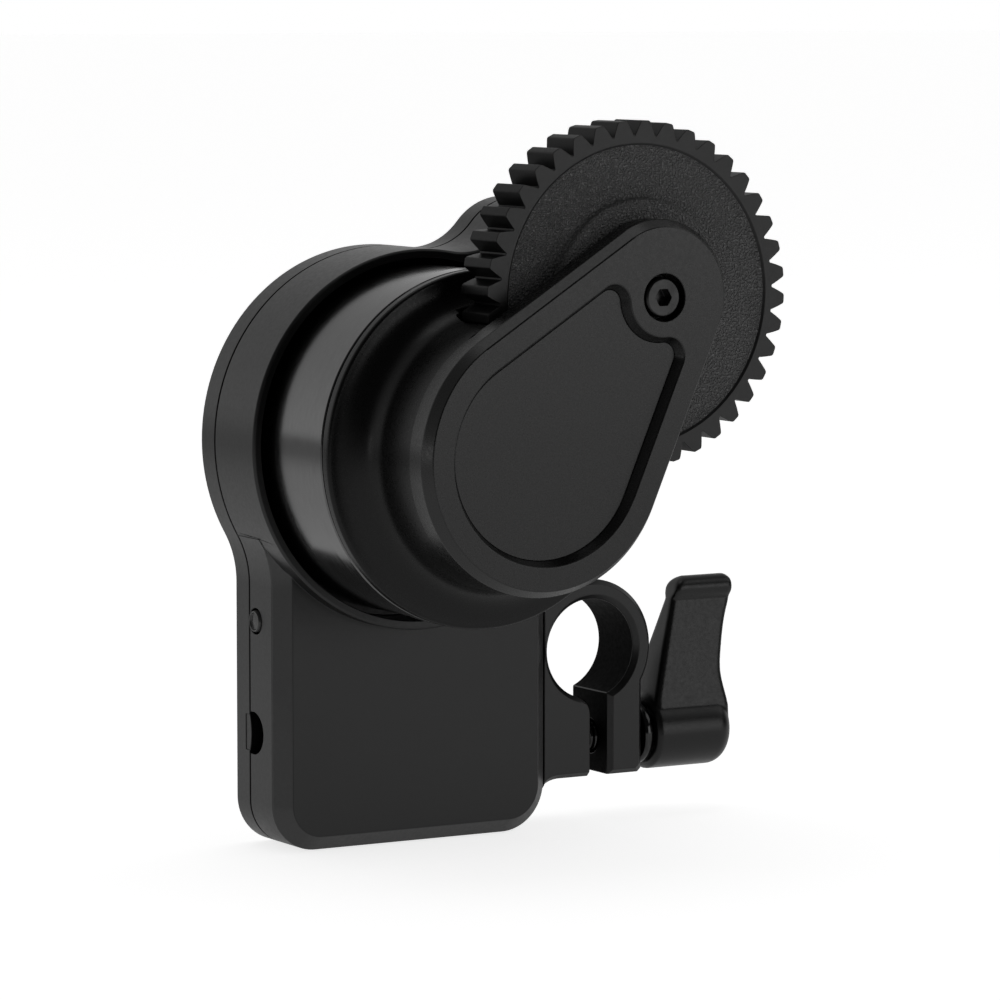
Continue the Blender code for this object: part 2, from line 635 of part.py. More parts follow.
def make_cover(finish):
    """Rear cover: a shallow tray with the same outline, screwed on from behind."""
    outer = [(COVER_FRONT, housing_outline(0)), (BACK - BACK_CHAMFER, housing_outline(0)),
             (BACK, housing_outline(BACK_CHAMFER))]
    cover = place("rear_cover", loft_mesh("rear_cover", outer), finish, None)
    outline = housing_outline(HOUSING_WALL)
    tray = cut(cover, loft_mesh("tray", [(COVER_FRONT - OVERRUN, outline), (COVER_INSIDE, outline)]))
    for i, spot in enumerate(LOW_BOSSES + BODY_BOSSES):
        cut(tray, rod_mesh("cover_boss_%d" % i, BOSS_RADIUS, COVER_FRONT - 2 * OVERRUN, BACK, SMALL_ROUND, spot))
    sunk = BACK - SCREW_HEAD_DEPTH - SCREW_SINK
    for i, spot in enumerate(LOW_BOSSES + BODY_BOSSES):
        hole = [(0, COVER_FRONT - OVERRUN), (SCREW_RADIUS + FIT_GAP, COVER_FRONT - OVERRUN),
                (SCREW_RADIUS + FIT_GAP, sunk - FIT_GAP), (SCREW_HEAD_RADIUS + FIT_GAP, sunk - FIT_GAP),
                (SCREW_HEAD_RADIUS + FIT_GAP, BACK + OVERRUN), (0, BACK + OVERRUN)]
        cut(cover, turned_mesh("cover_hole_%d" % i, hole, SCREW_ROUND, spot))
    cut(cover, rod_mesh("axle_seat", AXLE_RADIUS + FIT_GAP, COVER_INSIDE - OVERRUN, COVER_INSIDE + BACK_PLATE_SEAT,
                        SMALL_ROUND, MOTOR))
    cut(cover, rod_mesh("gear_axle_seat", AXLE_SCREW_RADIUS + FIT_GAP, COVER_INSIDE - OVERRUN,
                        COVER_INSIDE + BACK_PLATE_SEAT, SMALL_ROUND, GEAR))
    wall = HOUSING_WALL + OVERRUN
    socket = along_x(rod_mesh("cover_socket_hole", SOCKET_RADIUS + SIDE_HOLE_GAP, -OVERRUN, wall, SMALL_ROUND))
    cut(cover, socket, (BOX_LEFT, SOCKET_Y, SOCKET_Z))
    return cover


def screw_profile(shank, head, head_depth, socket, socket_depth, head_top, tip):
    """A cap screw along Y with its head's face at head_top and its tip at tip, either way round."""
    way = 1 if tip > head_top else -1
    under = head_top + way * head_depth
    return [(0, head_top + way * socket_depth), (socket, head_top + way * socket_depth), (socket, head_top),
            (head, head_top), (head, under), (shank, under), (shank, tip), (0, tip)]


def make_small_screws(name, places, head_top, tip, finish):
    """Identical small screws along Y, each its own piece on a shared mesh."""
    profile = screw_profile(SCREW_RADIUS, SCREW_HEAD_RADIUS, SCREW_HEAD_DEPTH, SCREW_SOCKET_RADIUS,
                            SCREW_SOCKET_DEPTH, head_top, tip)
    mesh = turned_mesh(name, profile, SCREW_ROUND)
    mesh.materials.append(finish)
    for i, (x, z) in enumerate(places):
        screw = place("%s_%d" % (name, i + 1), mesh, None, None)
        screw.location = (x, 0, z)


def make_axle(finish):
    """The fixed motor axle with the flange that carries the arm."""
    front = ARM_SEAT + FIT_GAP
    profile = [(0, front), (FLANGE_RADIUS, front), (FLANGE_RADIUS, front + FLANGE_THICKNESS),
               (AXLE_RADIUS, front + FLANGE_THICKNESS), (AXLE_RADIUS, COVER_INSIDE + BACK_PLATE_SEAT - FIT_GAP),
               (0, COVER_INSIDE + BACK_PLATE_SEAT - FIT_GAP)]
    axle = place("motor_axle", turned_mesh("motor_axle", profile, MID_ROUND, MOTOR), finish, None)
    screw_holes(axle, FLANGE_SCREWS, front - OVERRUN, front + FLANGE_THICKNESS + OVERRUN)
    return axle


def make_bell(finish, rotor):
    """Rotor bell: the grooved ring that shows, its front web and the hub that runs on the bearings."""
    web = RING_FRONT + BELL_WEB
    groove = RING_FRONT + GROOVE_BACK
    inner = BELL_REAR_RADIUS - BELL_WALL
    profile = [(HUB_BORE, RING_FRONT), (BELL_RADIUS, RING_FRONT), (BELL_RADIUS, groove),
               (BELL_REAR_RADIUS - GROOVE_SINK, groove), (BELL_REAR_RADIUS - GROOVE_SINK, groove + GROOVE_WIDTH),
               (BELL_REAR_RADIUS, groove + GROOVE_WIDTH), (BELL_REAR_RADIUS, BELL_BACK), (inner, BELL_BACK),
               (inner, web), (HUB_RADIUS, web), (HUB_RADIUS, HUB_BACK), (HUB_BORE, HUB_BACK)]
    return place("rotor_bell", turned_mesh("rotor_bell", profile, BIG_ROUND), finish, rotor)


def make_bearing(name, front, finish, rotor):
    """A small ball bearing with its shields set back between the races."""
    inner = AXLE_RADIUS + FIT_GAP
    outer = inner + BEARING_WALL
    race = BEARING_WALL * BEARING_RACE_SHARE
    back = front + BEARING_WIDTH
    profile = [(inner, front), (inner + race, front), (inner + race, front + BEARING_RECESS),
               (outer - race, front + BEARING_RECESS), (outer - race, front), (outer, front), (outer, back),
               (outer - race, back), (outer - race, back - BEARING_RECESS), (inner + race, back - BEARING_RECESS),
               (inner + race, back), (inner, back)]
    return place(name, turned_mesh(name, profile, SMALL_ROUND), finish, rotor)


def make_magnet(finish, rotor):
    """The ring magnet inside the bell."""
    profile = ring_profile(MAGNET_INNER, MAGNET_OUTER, MAGNET_FRONT, MAGNET_FRONT + MAGNET_LENGTH)
    return place("rotor_magnet", turned_mesh("rotor_magnet", profile, MID_ROUND), finish, rotor)


def stator_outline():
    """Hub, teeth and pole shoes of the laminated core, about the origin."""
    points = []
    pitch = math.tau / STATOR_SLOTS
    shoe = pitch / 2 * SHOE_COVER_SHARE
    shoe_inner = STATOR_OUTER - SHOE_THICKNESS
    for i in range(STATOR_SLOTS):
        middle = i * pitch
        foot = math.asin(TOOTH_WIDTH / 2 / STATOR_HUB_OUTER)
        neck = math.asin(TOOTH_WIDTH / 2 / shoe_inner)
        places = [(STATOR_HUB_OUTER, -foot), (shoe_inner, -neck), (shoe_inner, -shoe), (STATOR_OUTER, -shoe),
                  (STATOR_OUTER, 0), (STATOR_OUTER, shoe), (shoe_inner, shoe), (shoe_inner, neck),
                  (STATOR_HUB_OUTER, foot), (STATOR_HUB_OUTER, pitch / 2)]
        points += [(r * math.cos(middle + t), r * math.sin(middle + t)) for r, t in places]
    return points


def make_stator(finish, motor):
    """The wound core's iron, seated on the housing's post."""
    outline = stator_outline()
    core = place("stator_core", loft_mesh("stator_core", [(STATOR_FRONT, outline), (STATOR_BACK, outline)]),
                 finish, motor)
    bore = POST_RADIUS + FIT_GAP
    cut(core, rod_mesh("stator_bore", bore, STATOR_FRONT - OVERRUN, STATOR_BACK + OVERRUN, MID_ROUND))
    return core


def coil_mesh():
    """A rounded coil round the stator tooth that points along +X."""
    bm = bmesh.new()
    near = STATOR_HUB_OUTER + COIL_GAP * 2
    half_width = TOOTH_WIDTH / 2 + COIL_GAP + COIL_THICKNESS
    far = math.sqrt((STATOR_OUTER - SHOE_THICKNESS) ** 2 - half_width ** 2) - COIL_GAP * 2
    middle = (STATOR_FRONT + STATOR_BACK) / 2
    loops = []
    for grow, radius in ((0, near), (COIL_THICKNESS, near), (COIL_THICKNESS, far), (0, far)):
        wide = TOOTH_WIDTH / 2 + COIL_GAP + grow
        tall = STATOR_LENGTH / 2 + COIL_GAP + grow
        corner = COIL_GAP + grow / 2
        ring = [(wide, tall - corner), (wide - corner, tall)]
        ring += [(-x, y) for x, y in reversed(ring)]
        ring += [(-x, -y) for x, y in ring]
        loops.append([bm.verts.new((radius, middle + y, x)) for x, y in ring])
    for first, second in zip(loops, loops[1:] + loops[:1]):
        for j, corner_vert in enumerate(first):
            k = (j + 1) % len(first)
            bm.faces.new((corner_vert, first[k], second[k], second[j]))
    return mesh_of("stator_coil", bm)


def make_coils(finish, motor):
    """One coil round each stator tooth, each its own piece."""
    mesh = coil_mesh()
    mesh.materials.append(finish)
    for i in range(STATOR_SLOTS):
        coil = place("stator_coil_%d" % (i + 1), mesh, None, motor)
        coil.rotation_euler = (0, math.tau * i / STATOR_SLOTS, 0)


def involute_flank(module, teeth, addendum, backlash, count):
    """Half-angle and radius pairs up one side of a tooth, from its base circle to its tip."""
    pitch_radius = module * teeth / 2
    base = pitch_radius * math.cos(PRESSURE_ANGLE)
    tip = pitch_radius + addendum
    half_at_pitch = math.pi / (2 * teeth) - backlash / 2 / pitch_radius
    roll_at_pitch = math.tan(PRESSURE_ANGLE) - PRESSURE_ANGLE
    flank = []
    for i in range(count + 1):
        radius = base + (tip - base) * i / count
        pressure = math.acos(min(1, base / radius))
        flank.append((half_at_pitch + roll_at_pitch - (math.tan(pressure) - pressure), radius))
    return flank


def gear_outline(module, teeth, addendum_share, dedendum_share, backlash, phase, steps, shrink=0):
    """The toothed outline about the origin, with one tooth centred on the phase angle."""
    root = module * (teeth / 2 - dedendum_share) - shrink
    flank = involute_flank(module, teeth, module * addendum_share - shrink, backlash + 2 * shrink, steps)
    foot = min(flank[0][0], math.pi / teeth * ROOT_GAP_SHARE)
    points = []
    for i in range(teeth):
        middle = phase + math.tau * i / teeth
        side = [(foot, root)] + [place_on for place_on in flank if place_on[1] > root]
        points += [(r * math.cos(middle - t), r * math.sin(middle - t)) for t, r in side]
        points += [(r * math.cos(middle + t), r * math.sin(middle + t)) for t, r in reversed(side)]
    return points


def train_gear(name, teeth, phase, bore, finish, parent):
    """A plain spur gear of the train inside the housing."""
    outline = gear_outline(TRAIN_MODULE, teeth, ADDENDUM_SHARE, DEDENDUM_SHARE, TRAIN_BACKLASH, phase, FLANK_STEPS)
    gear = place(name, loft_mesh(name, [(TRAIN_FRONT, outline), (TRAIN_BACK, outline)]), finish, parent)
    cut(gear, rod_mesh(name + "_bore", bore, TRAIN_FRONT - OVERRUN, TRAIN_BACK + OVERRUN, SMALL_ROUND))
    return gear


def make_follow_gear(finish, parent):
    """The large toothed wheel with its sunk web and raised hub."""
    def outline(shrink):
        return gear_outline(GEAR_MODULE, GEAR_TEETH, GEAR_TIP_SHARE, GEAR_ROOT_SHARE, GEAR_BACKLASH, GEAR_PHASE,
                            FLANK_STEPS, shrink)
    teeth = [(GEAR_FRONT, outline(0)), (GEAR_BACK, outline(0))]
    gear = place("follow_gear", loft_mesh("follow_gear", teeth), finish, parent)
    web = GEAR_FRONT + GEAR_WEB_SINK
    boss = GEAR_FRONT - GEAR_BOSS_RISE
    sink = [(0, GEAR_FRONT - OVERRUN), (GEAR_WEB_RADIUS + GEAR_WEB_SINK, GEAR_FRONT - OVERRUN),
            (GEAR_WEB_RADIUS + GEAR_WEB_SINK, GEAR_FRONT), (GEAR_WEB_RADIUS, web), (0, web)]
    cut(gear, turned_mesh("web_sink", sink, BIG_ROUND))
    rear_web = GEAR_BACK - GEAR_REAR_SINK
    rear_sink = [(GEAR_BOSS_RADIUS, rear_web), (GEAR_WEB_RADIUS, rear_web),
                 (GEAR_WEB_RADIUS, GEAR_BACK + OVERRUN), (GEAR_BOSS_RADIUS, GEAR_BACK + OVERRUN)]
    cut(gear, turned_mesh("rear_web_sink", rear_sink, MID_ROUND))
    edge = arc((GEAR_BOSS_RADIUS - GEAR_BOSS_ROUND, boss + GEAR_BOSS_ROUND), GEAR_BOSS_ROUND, -QUARTER, 0,
               PROFILE_STEP)
    hub = [(0, boss)] + edge + [(GEAR_BOSS_RADIUS, web + GEAR_WEB_SINK), (0, web + GEAR_WEB_SINK)]
    join(gear, turned_mesh("gear_boss", hub, MID_ROUND))
    cut(gear, rod_mesh("gear_bore", SLEEVE_RADIUS + FIT_GAP, boss - OVERRUN, GEAR_BACK + OVERRUN, SMALL_ROUND))
    return gear


def make_sleeve(finish, parent):
    """The brass sleeve that carries the follow gear in front and the output gear behind."""
    boss = GEAR_FRONT - GEAR_BOSS_RISE
    collar = GEAR_BACK + FIT_GAP
    profile = [(SLEEVE_BORE, boss), (SLEEVE_RADIUS, boss), (SLEEVE_RADIUS, collar), (SLEEVE_COLLAR_RADIUS, collar),
               (SLEEVE_COLLAR_RADIUS, collar + SLEEVE_COLLAR), (SLEEVE_RADIUS, collar + SLEEVE_COLLAR),
               (SLEEVE_RADIUS, TRAIN_BACK), (SLEEVE_BORE, TRAIN_BACK)]
    return place("drive_sleeve", turned_mesh("drive_sleeve", profile, SMALL_ROUND), finish, parent)


def arm_side_turn(big, small):
    """How far the arm's straight sides lean from the line between its two ends."""
    return math.asin((big - small) / AXIS_DISTANCE)


def arm_outline(inset):
    """Two round ends joined by straight sides."""
    lean = arm_side_turn(DRUM_RADIUS, ARM_SMALL_RADIUS)
    left = TRAIN_ANGLE + math.pi / 2 - lean
    right = TRAIN_ANGLE - math.pi / 2 + lean
    big = arc(MOTOR, DRUM_RADIUS - inset, left, right + math.tau)
    small = arc(GEAR, ARM_SMALL_RADIUS - inset, right, left)
    return big + small


def recess_outline(inset):
    """The sunk panel of the arm: round at the motor end, notched round the screw."""
    small = ARM_SMALL_RADIUS - RECESS_MARGIN
    lean = arm_side_turn(RECESS_BIG_RADIUS, small)
    left = TRAIN_ANGLE + math.pi / 2 - lean
    right = TRAIN_ANGLE - math.pi / 2 + lean
    reach = math.sqrt((RECESS_NOTCH_RADIUS + RECESS_CORNER) ** 2 - (small - RECESS_CORNER) ** 2)
    corners = []
    for turn, side in ((left, -1), (right, 1)):
        outward = Vector((math.cos(turn), math.sin(turn)))
        toward_motor = Vector((-outward.y, outward.x)) * -side
        corners.append(GEAR + toward_motor * reach + outward * (small - RECESS_CORNER))
    left_corner, right_corner = corners
    left_out = left_corner + Vector((math.cos(left), math.sin(left)))
    right_out = right_corner + Vector((math.cos(right), math.sin(right)))
    return path(
        arc(MOTOR, RECESS_BIG_RADIUS - inset, left, right + math.tau),
        [None] + sweep(right_corner, RECESS_CORNER - inset, right_out, GEAR, 1),
        sweep(GEAR, RECESS_NOTCH_RADIUS + inset, right_corner, left_corner, -1),
        sweep(left_corner, RECESS_CORNER - inset, GEAR, left_out, 1))


def make_arm(finish):
    """The arm: cap disc, filleted drum and the plate that reaches over the gear, in one piece."""
    plate = [(ARM_FACE, arm_outline(ARM_CHAMFER_WIDE)), (ARM_FACE + ARM_CHAMFER_DEEP, arm_outline(0)),
             (ARM_BACK, arm_outline(0))]
    arm = place("gear_arm", loft_mesh("gear_arm", plate), finish, None)
    start = DISC_FRONT - DRUM_FILLET
    fillet = arc((DRUM_RADIUS + DRUM_FILLET, start), DRUM_FILLET, math.pi, math.pi / 2, PROFILE_STEP)
    rim = arc((BELL_RADIUS - DISC_ROUND, DISC_FRONT + DISC_ROUND), DISC_ROUND, -math.pi / 2, 0, PROFILE_STEP)
    cavity = FLANGE_RADIUS + RUN_GAP
    drum = [(0, ARM_BACK), (DRUM_RADIUS, ARM_BACK)] + fillet + rim
    drum += [(BELL_RADIUS, DISC_BACK), (cavity, DISC_BACK), (cavity, ARM_SEAT), (0, ARM_SEAT)]
    body = join(arm, turned_mesh("drum", drum, BIG_ROUND, MOTOR))
    boss_room = GEAR_BOSS_RADIUS + GEAR_SLOT_GAP
    gear_room = GEAR_TIP_RADIUS + GEAR_SLOT_GAP
    slot = [(0, ARM_BACK - OVERRUN), (boss_room, ARM_BACK - OVERRUN), (boss_room, GEAR_FRONT - GEAR_SLOT_GAP),
            (gear_room, GEAR_FRONT - GEAR_SLOT_GAP), (gear_room, GEAR_BACK + GEAR_SLOT_GAP),
            (0, GEAR_BACK + GEAR_SLOT_GAP)]
    cut(body, turned_mesh("gear_slot", slot, MID_ROUND, GEAR))
    pocket = [(ARM_FACE - OVERRUN, recess_outline(0)), (ARM_FACE, recess_outline(0)),
              (RECESS_FLOOR, recess_outline(RECESS_SLOPE)), (POCKET_FLOOR, recess_outline(RECESS_SLOPE))]
    cut(arm, loft_mesh("panel_recess", pocket))
    under = ARM_FACE + ARM_SCREW_SINK + ARM_SCREW_HEAD_DEPTH + FIT_GAP
    bore = [(0, ARM_FACE - OVERRUN), (COUNTERBORE_RADIUS, ARM_FACE - OVERRUN), (COUNTERBORE_RADIUS, under),
            (AXLE_SCREW_RADIUS + FIT_GAP, under), (AXLE_SCREW_RADIUS + FIT_GAP, ARM_BACK + OVERRUN),
            (0, ARM_BACK + OVERRUN)]
    cut(arm, turned_mesh("gear_screw_hole", bore, SMALL_ROUND, GEAR))
    for i, spot in enumerate(FLANGE_SCREWS):
        hole = [(0, POCKET_FLOOR - FIT_GAP), (SCREW_HEAD_RADIUS + FIT_GAP, POCKET_FLOOR - FIT_GAP),
                (SCREW_HEAD_RADIUS + FIT_GAP, ARM_SCREW_SEAT), (SCREW_RADIUS + FIT_GAP, ARM_SCREW_SEAT),
                (SCREW_RADIUS + FIT_GAP, ARM_SEAT + OVERRUN), (0, ARM_SEAT + OVERRUN)]
        cut(arm, turned_mesh("flange_screw_hole_%d" % i, hole, SCREW_ROUND, spot))
    return arm


def make_arm_cover(finish):
    """The thin inlaid plate over the arm's screws."""
    outline = recess_outline(RECESS_SLOPE + SEAM_GAP)
    layers = [(RECESS_FLOOR, outline), (RECESS_FLOOR + COVER_PLATE, outline)]
    return place("arm_cover_plate", loft_mesh("arm_cover_plate", layers), finish, None)


def make_axle_screw(finish):
    """The long shoulder screw that is the follow gear's axle."""
    top = ARM_FACE + ARM_SCREW_SINK
    under = top + ARM_SCREW_HEAD_DEPTH
    tip = COVER_INSIDE + BACK_PLATE_SEAT - FIT_GAP
    profile = [(0, top), (ARM_SCREW_HEAD_RADIUS - HEAD_EDGE, top), (ARM_SCREW_HEAD_RADIUS, top + HEAD_EDGE),
               (ARM_SCREW_HEAD_RADIUS, under), (AXLE_SCREW_RADIUS, under), (AXLE_SCREW_RADIUS, tip), (0, tip)]
    screw = place("gear_axle_screw", turned_mesh("gear_axle_screw", profile, SMALL_ROUND, GEAR), finish, None)
    hexagon = [(GEAR.x + HEX_RADIUS * math.cos(turn), GEAR.y + HEX_RADIUS * math.sin(turn)) for turn in HEX_TURNS]
    cut(screw, loft_mesh("hex_socket", [(top - OVERRUN, hexagon), (top + HEX_DEPTH, hexagon)]))
    return screw


def make_bracket(finish):
    """Split clamp for a rod, with a foot that seats on the housing's side."""
    def outline(inset):
        ring = CLAMP_RING_RADIUS - inset
        left = BRACKET_LEFT + inset
        low = -JAW_DROP + inset
        foot_top = CLAMP_FOOT_TOP - inset
        right = JAW_RIGHT - inset
        lean = math.atan2(FOOT_FLARE, CLAMP_FOOT_LEFT)
        top = arc((0, 0), ring, -math.acos(right / ring), QUARTER + lean)
        return top + [(left, foot_top), (left, low - FOOT_FLARE),
                      (left + FOOT_FLARE / 2, low - FOOT_FLARE * FOOT_FLARE_LOW_SHARE),
                      (left + FOOT_FLARE * 2, low), (right - JAW_CORNER, low), (right, low + JAW_CORNER)]

    def slit(chamfer):
        low = -JAW_DROP - OVERRUN
        aside = SLIT_LEFT - SLIT_ROUND
        centre = (aside, -math.sqrt((ROD_BORE_RADIUS + SLIT_ROUND) ** 2 - aside ** 2))
        corner = arc(centre, SLIT_ROUND, 0, math.atan2(-centre[1], -centre[0]), PROFILE_STEP)
        right = SLIT_RIGHT + chamfer
        return [(SLIT_LEFT, low)] + corner + [(SLIT_LEFT, 0), (right, 0), (right, low)]

    front = BACK - CLAMP_DEPTH
    layers = [(front, outline(CLAMP_CHAMFER)), (front + CLAMP_CHAMFER, outline(0)),
              (BACK - CLAMP_CHAMFER, outline(0)), (BACK, outline(CLAMP_CHAMFER))]
    bracket = place("rod_clamp_bracket", loft_mesh("rod_clamp_bracket", layers), finish, None)
    wide = ROD_BORE_RADIUS + CLAMP_CHAMFER
    bore = [(0, front - OVERRUN), (wide, front - OVERRUN), (wide, front), (ROD_BORE_RADIUS, front + CLAMP_CHAMFER),
            (ROD_BORE_RADIUS, BACK - CLAMP_CHAMFER), (wide, BACK), (wide, BACK + OVERRUN), (0, BACK + OVERRUN)]
    cut(bracket, turned_mesh("rod_bore", bore, MID_ROUND))
    gap = [(front - OVERRUN, slit(SLIT_CHAMFER)), (front, slit(SLIT_CHAMFER)), (front + SLIT_CHAMFER, slit(0)),
           (BACK - SLIT_CHAMFER, slit(0)), (BACK, slit(SLIT_CHAMFER)), (BACK + OVERRUN, slit(SLIT_CHAMFER))]
    cut(bracket, loft_mesh("clamp_slit", gap))
    stud_hole = rod_mesh("stud_hole", STUD_RADIUS + FIT_GAP, STUD_LEFT - FIT_GAP, JAW_RIGHT + OVERRUN, SMALL_ROUND)
    cut(bracket, along_x(stud_hole), (0, 0, STUD_Z))
    for i, drop in enumerate(BRACKET_SCREW_DROPS):
        hole = rod_mesh("bracket_screw_hole_%d" % i, SCREW_RADIUS + FIT_GAP, -OVERRUN,
                        BRACKET_SCREW_BITE + FIT_GAP, SMALL_ROUND)
        cut(bracket, along_x(hole), (BRACKET_LEFT, BRACKET_SCREW_Y, -drop))
    return bracket


def make_bracket_screws(finish):
    """Two screws from inside the housing that hold the clamp bracket."""
    wall_inside = BOX_RIGHT - HOUSING_WALL - FIT_GAP
    profile = screw_profile(SCREW_RADIUS, SCREW_HEAD_RADIUS, SCREW_HEAD_DEPTH, SCREW_SOCKET_RADIUS,
                            SCREW_SOCKET_DEPTH, wall_inside - SCREW_HEAD_DEPTH, BRACKET_LEFT + BRACKET_SCREW_BITE)
    mesh = along_x(turned_mesh("bracket_screw", profile, SCREW_ROUND))
    mesh.materials.append(finish)
    for i, drop in enumerate(BRACKET_SCREW_DROPS):
        screw = place("bracket_screw_%d" % (i + 1), mesh, None, None)
        screw.location = (0, BRACKET_SCREW_Y, -drop)


def x_turned(name, profile, finish, parent, steps=SMALL_ROUND):
    """A piece turned about the clamp screw's axis; the profile holds radius and X."""
    return place(name, along_x(turned_mesh(name, profile, steps)), finish, parent)


def make_stud(finish, parent):
    """The clamp screw with its serrated head inside the lever."""
    head = LEVER_LEFT
    bore = LEVER_SCREW_RADIUS + FIT_GAP
    profile = [(0, STUD_LEFT), (STUD_RADIUS, STUD_LEFT), (STUD_RADIUS, head), (SPLINE_RADIUS, head),
               (SPLINE_RADIUS, head + SPLINE_LENGTH), (bore, head + SPLINE_LENGTH), (bore, head + FIT_GAP),
               (0, head + FIT_GAP)]
    stud = x_turned("clamp_stud", profile, finish, parent)
    for i in range(SPLINE_TEETH):
        turn = math.tau * i / SPLINE_TEETH
        notch = rod_mesh("serration_%d" % i, SPLINE_SINK, head - FIT_GAP, head + SPLINE_LENGTH + FIT_GAP,
                         SPLINE_SIDES, (SPLINE_RADIUS * math.cos(turn), SPLINE_RADIUS * math.sin(turn)))
        cut(stud, along_x(notch))
    return stud


def make_washer(finish, parent):
    """The collar between the jaw and the lever."""
    profile = ring_profile(STUD_RADIUS + FIT_GAP, WASHER_RADIUS, WASHER_LEFT, WASHER_LEFT + WASHER_THICKNESS)
    return x_turned("clamp_washer", profile, finish, parent)


def level_loop(z, left, right, half):
    """A chamfered rectangle across the lever's wing at one height."""
    corner = min(LEVER_CORNER, half / 2)
    flat = half - corner
    return [(left, flat, z), (left, -flat, z), (left + corner, -half, z), (right - corner, -half, z),
            (right, -flat, z), (right, flat, z), (right - corner, half, z), (left + corner, half, z)]


def wing_levels():
    """Half thickness and height of each level of the lever's wing: root, taper and round bead."""
    neck = LEVER_NECK_THICKNESS / 2
    root = LEVER_ROOT_THICKNESS / 2
    swell = math.acos(neck / LEVER_BEAD_RADIUS)
    centre = (0, LEVER_HEIGHT - LEVER_BEAD_RADIUS)
    bead = arc(centre, LEVER_BEAD_RADIUS, -swell, QUARTER, PROFILE_STEP)[:-1]
    start = math.sqrt(LEVER_HUB_RADIUS ** 2 - root ** 2)
    neck_height = bead[0][1]
    taper = [(root + (neck - root) * share, start + (neck_height - start) * share) for share in LEVER_LEVEL_SHARES]
    return [(root, 0)] + taper + bead


def wing_sides(height):
    """Left and right edge of the lever's wing at a height above the clamp screw."""
    foot = LEVER_HUB_RADIUS - LEVER_LEFT_ROUND
    rise = max(0, height - foot) / (LEVER_HEIGHT - foot)
    left = LEVER_LEFT + LEVER_LEFT_ROUND + (LEVER_TOP_LEFT - LEVER_LEFT_ROUND) * rise
    above = max(0, height - LEVER_WAIST_HEIGHT) / (LEVER_HEIGHT - LEVER_WAIST_HEIGHT)
    right = LEVER_RIGHT - LEVER_WAIST_INSET + (LEVER_TOP_OVERHANG + LEVER_WAIST_INSET) * above ** 2
    over = max(0, height - LEVER_HEIGHT + LEVER_TOP_ROUND)
    back = LEVER_TOP_ROUND - math.sqrt(LEVER_TOP_ROUND ** 2 - over ** 2)
    return left + back, right - back


def make_lever(finish, parent):
    """The winged lever: a round hub and a flat wing with a beaded end."""
    left = LEVER_LEFT
    hub = [(0, left), (LEVER_HUB_RADIUS - LEVER_LEFT_ROUND, left), (LEVER_HUB_RADIUS, left + LEVER_LEFT_ROUND)]
    hub += [(r, x) for x, r in arc((LEVER_RIGHT - LEVER_ROUND, LEVER_HUB_RADIUS - LEVER_ROUND), LEVER_ROUND,
                                   QUARTER, 0, PROFILE_STEP)]
    hub += [(0, LEVER_RIGHT)]
    lever = x_turned("clamp_lever", hub, finish, parent, SMALL_ROUND)
    bm = bmesh.new()
    loops = []
    for half, height in wing_levels():
        near, far = wing_sides(height)
        loops.append([bm.verts.new(spot) for spot in level_loop(height, near, far, half)])
    for low, high in zip(loops, loops[1:]):
        for i, corner in enumerate(low):
            j = (i + 1) % len(low)
            bm.faces.new((corner, low[j], high[j], high[i]))
    bm.faces.new(loops[0])
    bm.faces.new(reversed(loops[-1]))
    join(lever, mesh_of("wing", bm))
    shoulder = left + SPLINE_LENGTH + FIT_GAP
    inside = [(0, left - OVERRUN), (LEVER_BORE_RADIUS, left - OVERRUN), (LEVER_BORE_RADIUS, shoulder),
              (LEVER_SCREW_RADIUS + FIT_GAP, shoulder), (LEVER_SCREW_RADIUS + FIT_GAP, shoulder + LEVER_END_WALL),
              (LEVER_BORE_RADIUS, shoulder + LEVER_END_WALL), (LEVER_BORE_RADIUS, LEVER_RIGHT + OVERRUN),
              (0, LEVER_RIGHT + OVERRUN)]
    cut(lever, along_x(turned_mesh("lever_bore", inside, SMALL_ROUND)))
    return lever


def make_lever_screw(finish, parent):
    """The screw in the end of the clamp stud that keeps the spring and the lever on."""
    profile = screw_profile(LEVER_SCREW_RADIUS, LEVER_SCREW_HEAD_RADIUS, LEVER_SCREW_HEAD, SCREW_SOCKET_RADIUS,
                            SCREW_SOCKET_DEPTH, LEVER_RIGHT - LEVER_SCREW_SUNK, LEVER_LEFT + FIT_GAP * 2)
    return x_turned("lever_screw", profile, finish, parent)


def make_lever_spring(finish, parent):
    """The coil spring that lets the lever be pulled out and turned back."""
    start = LEVER_LEFT + SPLINE_LENGTH + LEVER_END_WALL + 2 * FIT_GAP + SPRING_WIRE
    end = LEVER_RIGHT - LEVER_SCREW_SUNK - LEVER_SCREW_HEAD - FIT_GAP - SPRING_WIRE
    radius = (LEVER_BORE_RADIUS + LEVER_SCREW_RADIUS) / 2
    curve = bpy.data.curves.new("lever_spring", "CURVE")
    curve.dimensions = "3D"
    curve.bevel_depth = SPRING_WIRE
    curve.bevel_resolution = 1
    curve.use_fill_caps = True
    line = curve.splines.new("POLY")
    count = SPRING_TURNS * SPRING_STEPS
    line.points.add(count)
    for i in range(count + 1):
        turn = math.tau * i / SPRING_STEPS
        spot = (start + (end - start) * i / count, radius * math.cos(turn), radius * math.sin(turn), 1)
        line.points[i].co = spot
    gap = (end - start) / SPRING_TURNS - 2 * SPRING_WIRE
    print("least gap between the spring's turns, m: %.5f" % gap)
    spring = bpy.data.objects.new("lever_spring", curve)
    bpy.context.collection.objects.link(spring)
    curve.materials.append(finish)
    spring.parent = parent
    return spring


